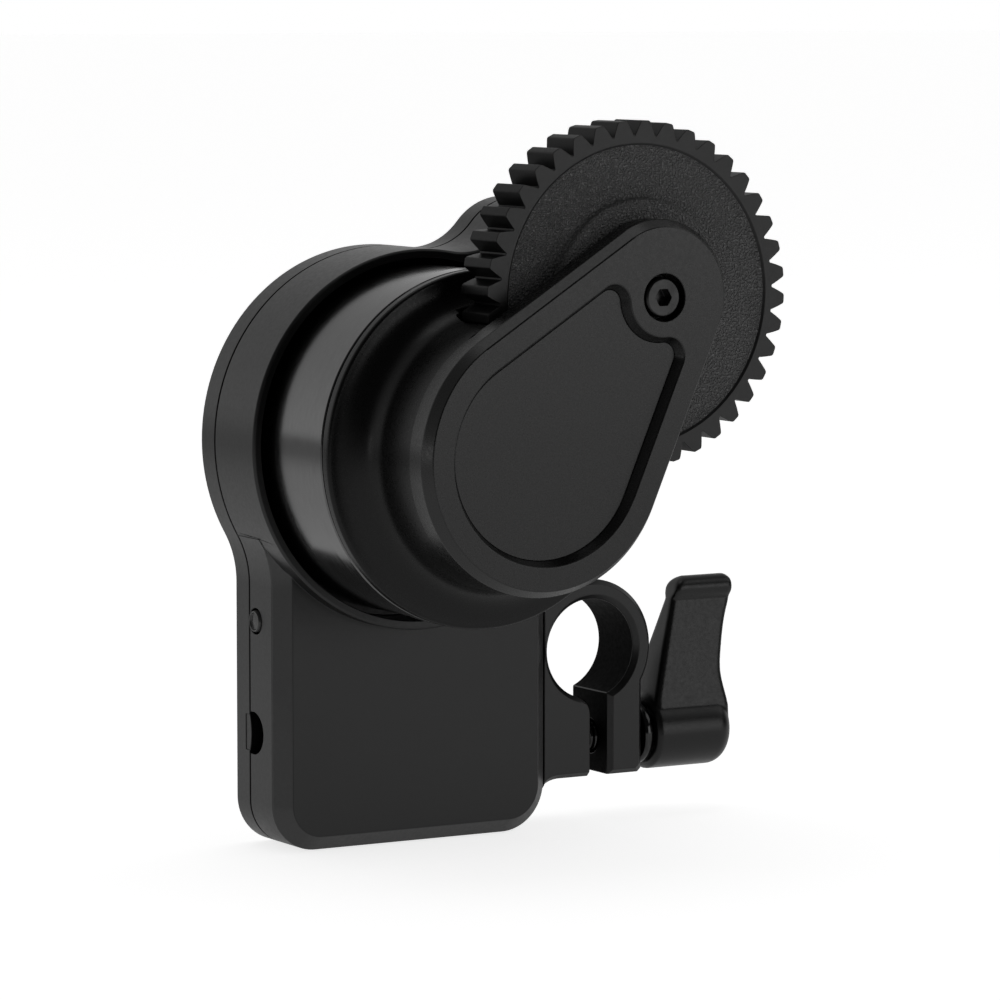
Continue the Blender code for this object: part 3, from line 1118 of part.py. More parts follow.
def make_board(finish):
    """Control board with its chips, on two posts in the box."""
    plate = block_mesh("control_board", (BOARD_LEFT, BOARD_RIGHT), (BOARD_FRONT, BOARD_BACK), (BOARD_LOW, BOARD_TOP))
    board = place("control_board", plate, finish, None)
    middle = (BOARD_LEFT + BOARD_RIGHT) / 2
    centre = (BOARD_LOW + BOARD_TOP) / 2
    half = CHIP_SIZE / 2
    sunk = BOARD_BACK - BOARD_THICKNESS / 2
    for i, (x, z) in enumerate(((middle - CHIP_SIZE, centre), (middle + CHIP_SIZE, centre + half))):
        join(board, block_mesh("chip_%d" % i, (x - half, x + half), (sunk, BOARD_BACK + CHIP_HEIGHT),
                               (z - half, z + half)))
    screw_holes(board, BOARD_POSTS, BOARD_FRONT - OVERRUN, BOARD_BACK + OVERRUN)
    clear = SOCKET_RADIUS + FIT_GAP
    cut(board, block_mesh("socket_notch", (BOARD_LEFT - OVERRUN, SOCKET_RIGHT + FIT_GAP),
                          (BOARD_FRONT - OVERRUN, BOARD_BACK + CHIP_HEIGHT + OVERRUN),
                          (SOCKET_Z - clear, SOCKET_Z + clear)))
    return board


def make_socket(finish):
    """Round power and data socket in the left side, across the seam."""
    profile = [(SOCKET_HOLE_RADIUS, 0), (SOCKET_BARREL, 0), (SOCKET_BARREL, SOCKET_LENGTH), (0, SOCKET_LENGTH),
               (0, SOCKET_HOLE_DEPTH), (SOCKET_HOLE_RADIUS, SOCKET_HOLE_DEPTH)]
    socket = place("power_socket", along_x(turned_mesh("power_socket", profile, SMALL_ROUND)), finish, None)
    socket.location = (SOCKET_LEFT, SOCKET_Y, SOCKET_Z)
    return socket


def make_light(finish):
    """Status light guide in the left side."""
    profile = [(0, 0), (LIGHT_RADIUS - LIGHT_RISE, 0), (LIGHT_RADIUS, LIGHT_RISE),
               (LIGHT_RADIUS, LIGHT_LENGTH), (0, LIGHT_LENGTH)]
    light = place("status_light", along_x(turned_mesh("status_light", profile, SMALL_ROUND)), finish, None)
    light.location = (BOX_LEFT - LIGHT_RISE, LIGHT_Y, LIGHT_Z)
    return light


def build():
    """Makes every piece and hangs the moving ones on their axes."""
    start_empty()
    black = material("anodised_black", (0.018, 0.018, 0.019), 0.42, 0.85)
    plastic = material("black_plastic", (0.02, 0.02, 0.021), 0.55, 0)
    steel = material("steel", (0.55, 0.55, 0.56), 0.3, 1)
    dark_steel = material("blackened_steel", (0.03, 0.03, 0.032), 0.35, 1)
    brass = material("brass", (0.72, 0.52, 0.22), 0.3, 1)
    copper = material("enamelled_copper", (0.55, 0.22, 0.09), 0.35, 1)
    board_green = material("board", (0.02, 0.09, 0.04), 0.5, 0)
    clear = material("light_guide", (0.3, 0.3, 0.3), 0.25, 0)

    motor = axis_empty("motor_axis", MOTOR.x, 0, MOTOR.y)
    rotor = axis_empty("rotor_axis", MOTOR.x, 0, MOTOR.y)
    idler = axis_empty("idler_axis", IDLER.x, 0, IDLER.y)
    gear = axis_empty("gear_axis", GEAR.x, 0, GEAR.y)
    clamp = axis_empty("clamp_axis", 0, 0, STUD_Z)
    lever = axis_empty("lever_axis", 0, 0, STUD_Z)
    lever.parent = clamp
    lever.location = (0, 0, 0)

    make_housing(black)
    make_cover(black)
    make_small_screws("cover_screw", LOW_BOSSES + BODY_BOSSES, BACK - SCREW_SINK, FLOOR_BACK + FIT_GAP, dark_steel)
    make_axle(steel)
    make_bell(dark_steel, rotor)
    make_bearing("front_motor_bearing", RING_FRONT + FIT_GAP, steel, rotor)
    make_bearing("rear_motor_bearing", HUB_BACK - FIT_GAP - BEARING_WIDTH, steel, rotor)
    make_magnet(steel, rotor)
    make_stator(steel, motor)
    make_coils(copper, motor)
    train_gear("motor_pinion", PINION_TEETH, PINION_PHASE, AXLE_RADIUS + RUN_GAP, brass, rotor)
    train_gear("idler_gear", IDLER_TEETH, IDLER_PHASE, IDLER_PIN_RADIUS + RUN_GAP, brass, idler)
    train_gear("output_gear", OUTPUT_TEETH, OUTPUT_PHASE, SLEEVE_RADIUS + FIT_GAP, brass, gear)
    pin_front = FLOOR_BACK - IDLER_PIN_BITE
    pin_back = COVER_INSIDE - FIT_GAP
    place("idler_pin", rod_mesh("idler_pin", IDLER_PIN_RADIUS, pin_front, pin_back, SMALL_ROUND, IDLER), steel, None)
    make_follow_gear(plastic, gear)
    make_sleeve(brass, gear)
    make_arm(black)
    make_arm_cover(black)
    arm_screw_top = ARM_SCREW_SEAT - FIT_GAP - SCREW_HEAD_DEPTH
    make_small_screws("arm_screw", FLANGE_SCREWS, arm_screw_top, FLANGE_SCREW_TIP, dark_steel)
    make_axle_screw(dark_steel)
    make_board(board_green)
    board_screw_top = BOARD_BACK + FIT_GAP + SCREW_HEAD_DEPTH
    make_small_screws("board_screw", BOARD_POSTS, board_screw_top, BOARD_SCREW_TIP, dark_steel)
    make_socket(plastic)
    make_light(clear)
    make_bracket(black)
    make_bracket_screws(dark_steel)
    make_stud(dark_steel, clamp)
    make_washer(dark_steel, clamp)
    make_lever_screw(dark_steel, clamp)
    make_lever_spring(steel, clamp)
    make_lever(black, lever)


build()
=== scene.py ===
"""Looks, light and camera for the motorized follow focus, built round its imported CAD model.

Everything is in metres in the frame of the CAD model: the front faces -Y, +X is to the right, +Z up.
The pieces that show are built again with fine steps and softened edges in the places of their CAD nodes.
"""

import json
import math

import bmesh
import bpy
from mathutils import Matrix, Vector

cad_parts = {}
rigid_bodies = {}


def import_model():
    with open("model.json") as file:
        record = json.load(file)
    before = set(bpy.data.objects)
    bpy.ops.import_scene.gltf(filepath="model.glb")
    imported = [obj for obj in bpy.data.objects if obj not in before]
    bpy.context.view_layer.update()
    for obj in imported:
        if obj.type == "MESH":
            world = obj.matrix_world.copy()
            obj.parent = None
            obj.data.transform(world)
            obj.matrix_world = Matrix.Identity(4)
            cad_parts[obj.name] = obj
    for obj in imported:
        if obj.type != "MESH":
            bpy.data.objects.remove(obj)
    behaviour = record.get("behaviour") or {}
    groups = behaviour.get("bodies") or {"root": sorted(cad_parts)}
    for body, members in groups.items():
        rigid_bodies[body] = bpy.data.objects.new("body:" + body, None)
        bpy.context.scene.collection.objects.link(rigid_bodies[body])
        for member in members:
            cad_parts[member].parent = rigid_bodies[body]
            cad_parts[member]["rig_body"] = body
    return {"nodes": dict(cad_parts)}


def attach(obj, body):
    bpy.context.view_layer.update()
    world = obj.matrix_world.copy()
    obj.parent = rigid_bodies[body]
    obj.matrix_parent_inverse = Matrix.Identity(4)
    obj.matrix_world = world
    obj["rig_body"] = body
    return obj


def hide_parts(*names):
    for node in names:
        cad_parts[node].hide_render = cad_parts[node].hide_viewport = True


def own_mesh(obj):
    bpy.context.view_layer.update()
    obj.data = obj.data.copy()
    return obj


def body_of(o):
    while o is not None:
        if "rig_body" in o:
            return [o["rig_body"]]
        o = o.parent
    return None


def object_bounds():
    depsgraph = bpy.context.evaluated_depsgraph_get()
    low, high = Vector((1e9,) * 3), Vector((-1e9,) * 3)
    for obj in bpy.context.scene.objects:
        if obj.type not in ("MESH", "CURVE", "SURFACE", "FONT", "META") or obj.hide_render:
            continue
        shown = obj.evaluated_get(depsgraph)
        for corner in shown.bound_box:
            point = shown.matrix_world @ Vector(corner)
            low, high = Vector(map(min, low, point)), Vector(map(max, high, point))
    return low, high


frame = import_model()
CAD_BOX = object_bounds()

MM = 0.001
QUARTER = math.pi / 2

# Camera
CAMERA_AT = (-0.26499, -0.43900, 0.06600)
CAMERA_TURN = 30.28
CAMERA_TILT = 5.69
LENS_MM = 181.6
SENSOR_MM = 36
CLIP_START = 0.01

# Light: the backdrop behind the object, the darker room in front and the glow of the table near the object
BACKDROP_LOW = 0.74
BACKDROP_HIGH = 0.34
BACKDROP_FADE = (0.05, 0.75)
ROOM = 0.04
ROOM_FADE = (-0.25, 0.15)
TABLE_REACH = 0.40
TABLE_GLOW = 0.36
TABLE_FAR_GLOW = 0.05
FLOOR_Z = CAD_BOX[0][2] - 0.02 * MM
FLOOR_SIZE = 20
FLOOR_GREY = 0.85
FLOOR_ROUGHNESS = 0.9
FLOOR_SEEN = 0.76
AIM = (-0.01, 0, 0.02)
# Name, place, size and power of each lamp
LAMPS = [("front_right", (0.488, -0.863, 0.107), (0.5, 0.5), 1.2),
         ("right_high", (0.653, -0.383, 0.663), (0.5, 0.5), 0.6),
         ("top", (-0.05, 0.03, 1.02), (0.45, 0.45), 0.42),
         ("left_strip", (-1.0, -0.07, 0.0), (0.10, 0.28), 0.22)]

# Textures: how fine each noise is, per metre, and how deep its bumps are
NOISE_BAND = (0.3, 0.7)
CLOUD_SCALE = 140
GLOSS_SCALE = 2600
GRAIN_SCALE = 5200
GRAIN_DEPTH = 0.006 * MM
LINE_SCALE = 900
LINE_DEPTH = 0.004 * MM
MOULD_CLOUD_SCALE = 180
MOULD_SCALE = 6000
MOULD_DEPTH = 0.005 * MM
MOULD_STRENGTH = 0.4
MOULD_ROUGHNESS = (0.36, 0.46)
PEBBLE_SCALE = 4600
PEBBLE_BAND = (0.36, 0.64)
PEBBLE_DEPTH = 0.20 * MM

# Fineness of the pieces
ARC_STEPS = [(0.9 * MM, math.radians(15)), (2.8 * MM, math.radians(9)), (9 * MM, math.radians(4.5)),
             (1, math.radians(2.5))]
FILLET_STEP = math.radians(9)
NOSE_STEP = math.radians(3)
TINY = 0.002 * MM
ROUND_TRIM = 0.006 * MM
FINE_ROUND = 180
BORE_ROUND = 96
HOLE_ROUND = 48
ARM_BIG_STEPS = 110
ARM_SMALL_STEPS = 48
FLARE_STEPS = 8
CLAMP_STEPS = 40
WING_STEPS = 16
WING_CORNER_STEPS = 3
SPRING_TURN_STEPS = 32
SPRING_WIRE_STEPS = 10
LEVER_VOXEL = 0.13 * MM
LEVER_SMOOTHING = 9
LEVER_SHARP = math.radians(50)

# Softened edges
EDGE_ANGLE = math.radians(28)
EDGE_SEGMENTS = 2
HOUSING_EDGE = 0.10 * MM
COVER_EDGE = 0.06 * MM
ARM_EDGE = 0.09 * MM
PLATE_EDGE = 0.02 * MM
BELL_EDGE = 0.03 * MM
GEAR_EDGE = 0.05 * MM
CLAMP_EDGE = 0.08 * MM
SCREW_EDGE = 0.06 * MM
SOCKET_EDGE = 0.05 * MM
LIGHT_EDGE = 0.03 * MM
BEVEL_FACING = (-0.9, -0.5)
SLIT_FACING = 0.9

# Details that are finer here than in the CAD model
DISC_EDGE = 0.35 * MM
BOSS_ROOT = 0.15 * MM
PLATE_SEAM = 0.04 * MM
BOSS_FOOT = 0.35 * MM
BELL_CORNER = 0.12 * MM
COLLAR_CORNER = 0.12 * MM
RING_GROOVE_WIDTH = 0.30 * MM
RING_GROOVE_SINK = 0.35 * MM
JAW_ROUND = 2.0 * MM
PORT_RADIUS = 2.1 * MM
PORT_TAB_RISE = 0.4 * MM
THREAD_PITCH = 0.5 * MM
THREAD_DEPTH = 0.25 * MM
# Where a thread's crest ends, its root lies and the next crest starts, in shares of the pitch
THREAD_SHAPE = (0.1, 0.5, 0.9)
# The light's dished face: shares of its ring's radius and of its rise
LIGHT_DISH = 0.6
LIGHT_FACE = 0.9
# A tooth of the wheel from its foot to its tip: distance from the axis and half width
TOOTH_SIDE = [(15.38 * MM, 1.10 * MM), (15.60 * MM, 1.02 * MM), (16.10 * MM, 0.80 * MM), (16.55 * MM, 0.58 * MM),
              (16.73 * MM, 0.47 * MM), (16.795 * MM, 0.32 * MM)]
LEVER_TOP_LEFT_ROUND = 1.2 * MM
LEVER_NECK = 1.7 * MM
WING_ROUND_SHARE = 0.9
# Height on the lever's wing and how far its right edge stands in from the hub's end, in millimetres
LEVER_WAIST = [(0, 0.1), (2, 0.15), (3.1, 0.3), (4, 0.48), (5, 0.68), (6, 0.76), (7, 0.68), (8, 0.48), (9.6, 0.13),
               (11.2, -0.3), (12.4, -0.75), (13.3, -1.15), (14.2, -1.28), (15.9, -1.28)]

# Sizes and places of the CAD model: general
FIT_GAP = 0.0003
RUN_GAP = 0.0003
OVERRUN = 0.001
WELD = 0.000006
MID_ROUND = 32
SMALL_ROUND = 16
SCREW_ROUND = 12

# Where things stand along Y, from the back to the front
BACK = 0.00385
COVER_INSIDE = 0.00235
COVER_FRONT = 0.00085
HOUSING_BACK = 0.00065
HUB_BACK = -0.00075
FLOOR_BACK = -0.00075
FLOOR_FRONT = -0.00185
BELL_BACK = -0.00215
BOX_HOLLOW_FRONT = -0.00415
BOX_FACE = -0.00545
RIM = -0.00745
POST_FRONT = -0.01715
RING_FRONT = -0.01865
DISC_BACK = -0.01895
DISC_FRONT = -0.02005
ARM_SEAT = -0.02055
ARM_SCREW_SEAT = -0.02175
GEAR_BACK = -0.02195
GEAR_FRONT = -0.02695
ARM_BACK = -0.02845
POCKET_FLOOR = -0.02965
RECESS_FLOOR = -0.03075
ARM_FACE = -0.03175

# Centres in X and Z. They keep all their digits: with rounded ones the cut back face of the cover, which has
# many corners, is split into bad triangles and shows a dark wedge.
MOTOR = Vector((-0.0218, 0.0226))
GEAR = Vector((-0.008986267, 0.03749734))
IDLER = Vector((-0.015719182, 0.029669603))
LOBE = Vector((-0.006386267, 0.039097343))
LOBE_LEFT_FILLET = Vector((-0.01705252, 0.048010312))
LOBE_RIGHT_FILLET = Vector((0.003229727, 0.029060282))
BOX_LEFT_FILLET = Vector((-0.0469, 0.008376341))
BOX_RIGHT_FILLET = Vector((-0.0049, 0.012187868))
FLANGE_SCREWS = [(-0.0255906719015, 0.0258604927433), (-0.0250604922397, 0.0188093290432),
                 (-0.0180093285395, 0.019339508705)]
LOW_BOSSES = [(-0.0339000002205, -0.0149), (-0.0089, -0.0149)]
BODY_BOSSES = [(-0.0266979195814, 0.0376742465075), (-0.0373692531446, 0.019630006888),
               (-0.007458491439, 0.0158513989529)]
BOARD_POSTS = [(-0.0311000002205, -0.0003999992758), (-0.0117, -0.0095)]
TRAIN_ANGLE = math.radians(49.3)
AXIS_DISTANCE = 0.01965

# Housing and cover
BODY_RADIUS = 0.01885
LOBE_RADIUS = 0.0069
LOBE_FILLET = 0.007
CUP_BORE_RADIUS = 0.01795
CUP_FLOOR = 0.0011
RIM_CHAMFER = 0.0002
BACK_CHAMFER = 0.0003
HOUSING_WALL = 0.0012
BOX_LEFT = -0.0369000002205
BOX_RIGHT = -0.0059
BOX_BOTTOM = -0.0179
BOX_CORNER = 0.0048
BOX_CHAMFER = 0.0015
BOX_FILLET_LEFT = 0.01
BOX_FILLET_RIGHT = 0.001
POST_BORE = 0.0047
POST_RADIUS = 0.0056
BOSS_RADIUS = 0.0021
BOARD_POST_HEIGHT = 0.0012
BACK_PLATE_SEAT = 0.0008
IDLER_PIN_RADIUS = 0.0009
IDLER_PIN_BITE = 0.0005
SCREW_RADIUS = 0.0009
SCREW_HEAD_RADIUS = 0.0017
SCREW_HEAD_DEPTH = 0.001
SCREW_SINK = 0.0002

# Socket and status light
SIDE_HOLE_GAP = 0.0002
SOCKET_LEFT = -0.0354000002205
SOCKET_Y = 0.00005
SOCKET_Z = -0.0064
SOCKET_LENGTH = 0.0062
SOCKET_BARREL = 0.0022
SOCKET_HOLE_RADIUS = 0.0016
SOCKET_HOLE_DEPTH = 0.0045
LIGHT_Y = -0.00055
LIGHT_Z = 0.0048
LIGHT_RADIUS = 0.0011
LIGHT_LENGTH = 0.003
LIGHT_RISE = 0.0002

# Rotor
AXLE_RADIUS = 0.0015
HUB_BORE = 0.0035
HUB_RADIUS = 0.0044
BELL_RADIUS = 0.01745
BELL_REAR_RADIUS = 0.01725
BELL_WALL = 0.0012
BELL_WEB = 0.0012
GROOVE_BACK = 0.00205

# Arm
FLANGE_RADIUS = 0.007
DRUM_RADIUS = 0.0133
DRUM_FILLET = 0.0035
ARM_SMALL_RADIUS = 0.00745
ARM_CHAMFER_WIDE = 0.0007
ARM_CHAMFER_DEEP = 0.0011
RECESS_BIG_RADIUS = 0.0103
RECESS_SLOPE = 0.00055
RECESS_MARGIN = 0.003
RECESS_NOTCH_RADIUS = 0.0038
RECESS_CORNER = 0.0018
COVER_PLATE = 0.0008
COUNTERBORE_RADIUS = 0.0023
ARM_SCREW_HEAD_RADIUS = 0.00192
ARM_SCREW_HEAD_DEPTH = 0.0019
ARM_SCREW_SINK = 0.0002
AXLE_SCREW_RADIUS = 0.001
HEAD_EDGE = 0.0002
HEX_SIDES = 6
HEX_RADIUS = 0.0009
HEX_DEPTH = 0.0012

# Wheel
GEAR_TEETH = 40
GEAR_PHASE = math.radians(6.2)
GEAR_TIP_RADIUS = 0.0168
GEAR_WEB_RADIUS = 0.0144
GEAR_WEB_SINK = 0.0002
GEAR_REAR_SINK = 0.0005
GEAR_BOSS_RADIUS = 0.0093248
GEAR_BOSS_RISE = 0.0009
GEAR_BOSS_ROUND = 0.0005
GEAR_SLOT_GAP = 0.0004
SLEEVE_RADIUS = 0.00175

# Rod clamp
ROD_BORE_RADIUS = 0.0051
CLAMP_DEPTH = 0.0077
CLAMP_CHAMFER = 0.0005
CLAMP_RING_RADIUS = 0.0071
CLAMP_FOOT_LEFT = 0.0059
CLAMP_FOOT_TOP = 0.0068
BRACKET_LEFT = -0.0057
JAW_DROP = 0.0131
JAW_RIGHT = 0.0061
JAW_CORNER = 0.0004
FOOT_FLARE = 0.001
SLIT_LEFT = -0.0003
SLIT_RIGHT = 0.002
SLIT_CHAMFER = 0.0005
BRACKET_SCREW_Y = -0.0016
BRACKET_SCREW_DROPS = [0.0059998, 0.0105979]
BRACKET_SCREW_BITE = 0.0016

# Clamp screw and lever
STUD_Z = -0.0095
STUD_LEFT = -0.003
STUD_RADIUS = 0.0015
WASHER_LEFT = 0.00675
WASHER_THICKNESS = 0.001
WASHER_RADIUS = 0.0033
LEVER_LEFT = 0.00805
LEVER_RIGHT = 0.01745
LEVER_HUB_RADIUS = 0.0039
LEVER_ROUND = 0.0018
LEVER_LEFT_ROUND = 0.0004
LEVER_BORE_RADIUS = 0.0024
LEVER_HEIGHT = 0.0159
LEVER_TOP_LEFT = 0.0041
LEVER_BEAD_RADIUS = 0.0013
LEVER_TOP_ROUND = 0.0008
LEVER_ROOT_THICKNESS = 0.006
LEVER_CORNER = 0.0005
SPLINE_RADIUS = 0.0021
SPLINE_LENGTH = 0.0014
SPLINE_SINK = 0.0003
SPRING_WIRE = 0.0002
SPRING_TURNS = 3
LEVER_SCREW_HEAD = 0.001
LEVER_END_WALL = 0.001
LEVER_SCREW_RADIUS = 0.0009
LEVER_SCREW_SUNK = 0.0005


def arc(centre, radius, start, end, step=None):
    """Points on an arc from one angle to another, both ends included, finer on larger arcs."""
    if step is None:
        step = next(fine for limit, fine in ARC_STEPS if radius < limit)
    count = max(2, math.ceil(abs(end - start) / step - TINY))
    turns = [start + (end - start) * i / count for i in range(count + 1)]
    return [(centre[0] + radius * math.cos(t), centre[1] + radius * math.sin(t)) for t in turns]


def sweep(centre, radius, start, end, turn):
    """An arc from the direction of one point to that of another, anticlockwise (1) or clockwise (-1)."""
    first = math.atan2(start[1] - centre[1], start[0] - centre[0])
    last = math.atan2(end[1] - centre[1], end[0] - centre[0])
    while (last - first) * turn <= 0:
        last += turn * math.tau
    return arc(centre, radius, first, last)


def path(*stretches):
    """Joins stretches end to end, with each shared point kept once."""
    points = list(stretches[0])
    for stretch in stretches[1:]:
        points += list(stretch)[1:]
    return points


def mesh_of(name, bm):
    """Closes a bmesh into a mesh with its faces pointing out."""
    bmesh.ops.recalc_face_normals(bm, faces=bm.faces)
    mesh = bpy.data.meshes.new(name)
    bm.to_mesh(mesh)
    bm.free()
    return mesh


def skin(bm, first, second, finish=0):
    """Faces between two closed loops of equal length."""
    for i, corner in enumerate(first):
        j = (i + 1) % len(first)
        bm.faces.new((corner, first[j], second[j], second[i])).material_index = finish


def tube_mesh(name, layers):
    """Skins closed loops of (x, y, z) points one after another and caps both ends."""
    bm = bmesh.new()
    loops = [[bm.verts.new(spot) for spot in layer] for layer in layers]
    for first, second in zip(loops, loops[1:]):
        skin(bm, first, second)
    bm.faces.new(loops[0])
    bm.faces.new(reversed(loops[-1]))
    return mesh_of(name, bm)


def loft_mesh(name, layers):
    """A mesh that runs through outlines in X and Z, each at its own Y."""
    return tube_mesh(name, [[(x, y, z) for x, z in outline] for y, outline in layers])


def turned_mesh(name, profile, steps, centre=(0, 0)):
    """Spins a closed (radius, y) profile round an axis along Y through a centre in X and Z."""
    bm = bmesh.new()
    verts = [bm.verts.new((centre[0] + r, y, centre[1])) for r, y in profile]
    edges = [bm.edges.new((v, verts[(i + 1) % len(verts)])) for i, v in enumerate(verts)]
    bmesh.ops.spin(bm, geom=verts + edges, cent=(centre[0], 0, centre[1]), axis=(0, 1, 0), angle=math.tau,
                   steps=steps, use_duplicate=False)
    bmesh.ops.remove_doubles(bm, verts=bm.verts, dist=WELD)
    loose = [e for e in bm.edges if not e.link_faces]
    bmesh.ops.delete(bm, geom=loose, context="EDGES")
    return mesh_of(name, bm)


def stepped(front, *steps):
    """The profile of a rod of several widths: the radius of each step and where it ends."""
    profile = [(0, front)]
    for radius, back in steps:
        profile += [(radius, front), (radius, back)]
        front = back
    return profile + [(0, front)]


def rod_mesh(name, radius, front, back, steps, centre=(0, 0)):
    """A plain rod along Y."""
    return turned_mesh(name, stepped(front, (radius, back)), steps, centre)


def boss_mesh(front, hole_bottom, back, centre):
    """A round boss with a blind screw hole in its back end."""
    return turned_mesh("boss", stepped(front, (BOSS_RADIUS, back), (SCREW_RADIUS + FIT_GAP, hole_bottom)),
                       SCREW_ROUND, centre)


def along_x(mesh):
    """Turns a mesh that was built along Y so that it runs along X."""
    mesh.transform(Matrix.Rotation(-QUARTER, 4, "Z"))
    return mesh


def lobe_side(inset):
    """From the body circle round the lobe that carries the gear axle and back to the circle."""
    return path(
        sweep(LOBE_RIGHT_FILLET, LOBE_FILLET + inset, MOTOR, LOBE, -1),
        sweep(LOBE, LOBE_RADIUS - inset, LOBE_RIGHT_FILLET, LOBE_LEFT_FILLET, 1),
        sweep(LOBE_LEFT_FILLET, LOBE_FILLET + inset, LOBE, MOTOR, -1))


def box_corners(inset):
    """The two lower corners of the box, from the left to the right."""
    low = BOX_BOTTOM + BOX_CORNER
    return (arc((BOX_LEFT + BOX_CORNER, low), BOX_CORNER - inset, math.pi, math.pi + QUARTER)
            + arc((BOX_RIGHT - BOX_CORNER, low), BOX_CORNER - inset, -QUARTER, 0))


def box_side(inset):
    """From the body circle down round the box and up to the circle again."""
    right_ward = Vector((1, 0))
    return (sweep(BOX_LEFT_FILLET, BOX_FILLET_LEFT + inset, MOTOR, BOX_LEFT_FILLET + right_ward, -1)
            + box_corners(inset)
            + sweep(BOX_RIGHT_FILLET, BOX_FILLET_RIGHT + inset, BOX_RIGHT_FILLET - right_ward, MOTOR, -1))


def cup_outline(inset):
    """The round body and the lobe."""
    ring = sweep(MOTOR, BODY_RADIUS - inset, LOBE_LEFT_FILLET, LOBE_RIGHT_FILLET, 1)
    return path(ring, lobe_side(inset))[:-1]


def box_outline(inset):
    """The box below the body, with its upper end inside the body circle."""
    return box_side(inset) + [tuple(MOTOR)]


def housing_outline(inset):
    """The whole housing from the front."""
    return path(
        sweep(MOTOR, BODY_RADIUS - inset, LOBE_LEFT_FILLET, BOX_LEFT_FILLET, 1),
        box_side(inset),
        sweep(MOTOR, BODY_RADIUS - inset, BOX_RIGHT_FILLET, LOBE_RIGHT_FILLET, 1),
        lobe_side(inset))[:-1]


def box_hollow_outline(inset):
    """The deeper hollow of the box, below the cup."""
    top = MOTOR.y - CUP_BORE_RADIUS - inset
    return box_corners(inset) + [(BOX_RIGHT - inset, top), (BOX_LEFT + inset, top)]


def arm_side_turn(big, small):
    """How far the arm's straight sides lean from the line between its two ends."""
    return math.asin((big - small) / AXIS_DISTANCE)


def recess_outline(inset):
    """The sunk panel of the arm: round at the motor end, notched round the screw."""
    small = ARM_SMALL_RADIUS - RECESS_MARGIN
    lean = arm_side_turn(RECESS_BIG_RADIUS, small)
    left = TRAIN_ANGLE + QUARTER - lean
    right = TRAIN_ANGLE - QUARTER + lean
    reach = math.sqrt((RECESS_NOTCH_RADIUS + RECESS_CORNER) ** 2 - (small - RECESS_CORNER) ** 2)
    corners = []
    for turn, side in ((left, -1), (right, 1)):
        outward = Vector((math.cos(turn), math.sin(turn)))
        toward_motor = Vector((-outward.y, outward.x)) * -side
        corners.append(GEAR + toward_motor * reach + outward * (small - RECESS_CORNER))
    left_corner, right_corner = corners
    left_out = left_corner + Vector((math.cos(left), math.sin(left)))
    right_out = right_corner + Vector((math.cos(right), math.sin(right)))
    return (arc(MOTOR, RECESS_BIG_RADIUS - inset, left, right + math.tau)
            + path(sweep(right_corner, RECESS_CORNER - inset, right_out, GEAR, 1),
                   sweep(GEAR, RECESS_NOTCH_RADIUS + inset, right_corner, left_corner, -1),
                   sweep(left_corner, RECESS_CORNER - inset, GEAR, left_out, 1)))


def node_material(name):
    """A new node material, its node tree and its principled shader."""
    made = bpy.data.materials.new(name)
    made.use_nodes = True
    return made, made.node_tree, made.node_tree.nodes["Principled BSDF"]


def add_node(tree, kind, **inputs):
    """A shader node with its inputs set by name."""
    node = tree.nodes.new(kind)
    for key, value in inputs.items():
        node.inputs[key.replace("_", " ")].default_value = value
    return node


def noise(tree, scale, detail=3.0, roughness=0.55, stretch=None):
    """A noise texture in the piece's own metres; stretch squeezes it along an axis."""
    where = tree.nodes.new("ShaderNodeTexCoord").outputs["Object"]
    if stretch:
        mapping = add_node(tree, "ShaderNodeMapping", Scale=stretch)
        tree.links.new(where, mapping.inputs["Vector"])
        where = mapping.outputs["Vector"]
    node = add_node(tree, "ShaderNodeTexNoise", Scale=scale, Detail=detail, Roughness=roughness)
    tree.links.new(where, node.inputs["Vector"])
    return node.outputs["Fac"]


def spread(tree, value, low, high, band=NOISE_BAND):
    """Maps the middle band of a texture onto the range from low to high."""
    node = add_node(tree, "ShaderNodeMapRange", From_Min=band[0], From_Max=band[1], To_Min=low, To_Max=high)
    tree.links.new(value, node.inputs["Value"])
    return node.outputs["Result"]


def tint(tree, value, dark, light):
    """A colour that runs from dark to light with a texture."""
    node = tree.nodes.new("ShaderNodeValToRGB")
    for element, position, colour in zip(node.color_ramp.elements, NOISE_BAND, (dark, light)):
        element.position = position
        element.color = (*colour, 1)
    tree.links.new(value, node.inputs["Fac"])
    return node.outputs["Color"]


def bump(tree, height, distance, strength, before=None):
    """A bump node, which may pile on another."""
    node = add_node(tree, "ShaderNodeBump", Strength=strength, Distance=distance)
    tree.links.new(height, node.inputs["Height"])
    if before is not None:
        tree.links.new(before, node.inputs["Normal"])
    return node.outputs["Normal"]


def grey(level):
    """A neutral colour."""
    return (level, level, level)


def anodised(name, dark, light, rough_low, rough_high, grain=0.5, gloss=0.5):
    """Black anodised aluminium: bead-blasted grain, faint clouding and slightly uneven gloss."""
    made, tree, shader = node_material(name)
    cloud = noise(tree, CLOUD_SCALE, detail=2)
    tree.links.new(tint(tree, cloud, grey(dark), grey(light)), shader.inputs["Base Color"])
    patches = noise(tree, GLOSS_SCALE, detail=2)
    tree.links.new(spread(tree, patches, rough_low, rough_high), shader.inputs["Roughness"])
    tree.links.new(bump(tree, noise(tree, GRAIN_SCALE), GRAIN_DEPTH, grain), shader.inputs["Normal"])
    shader.inputs["Specular IOR Level"].default_value = gloss
    return made


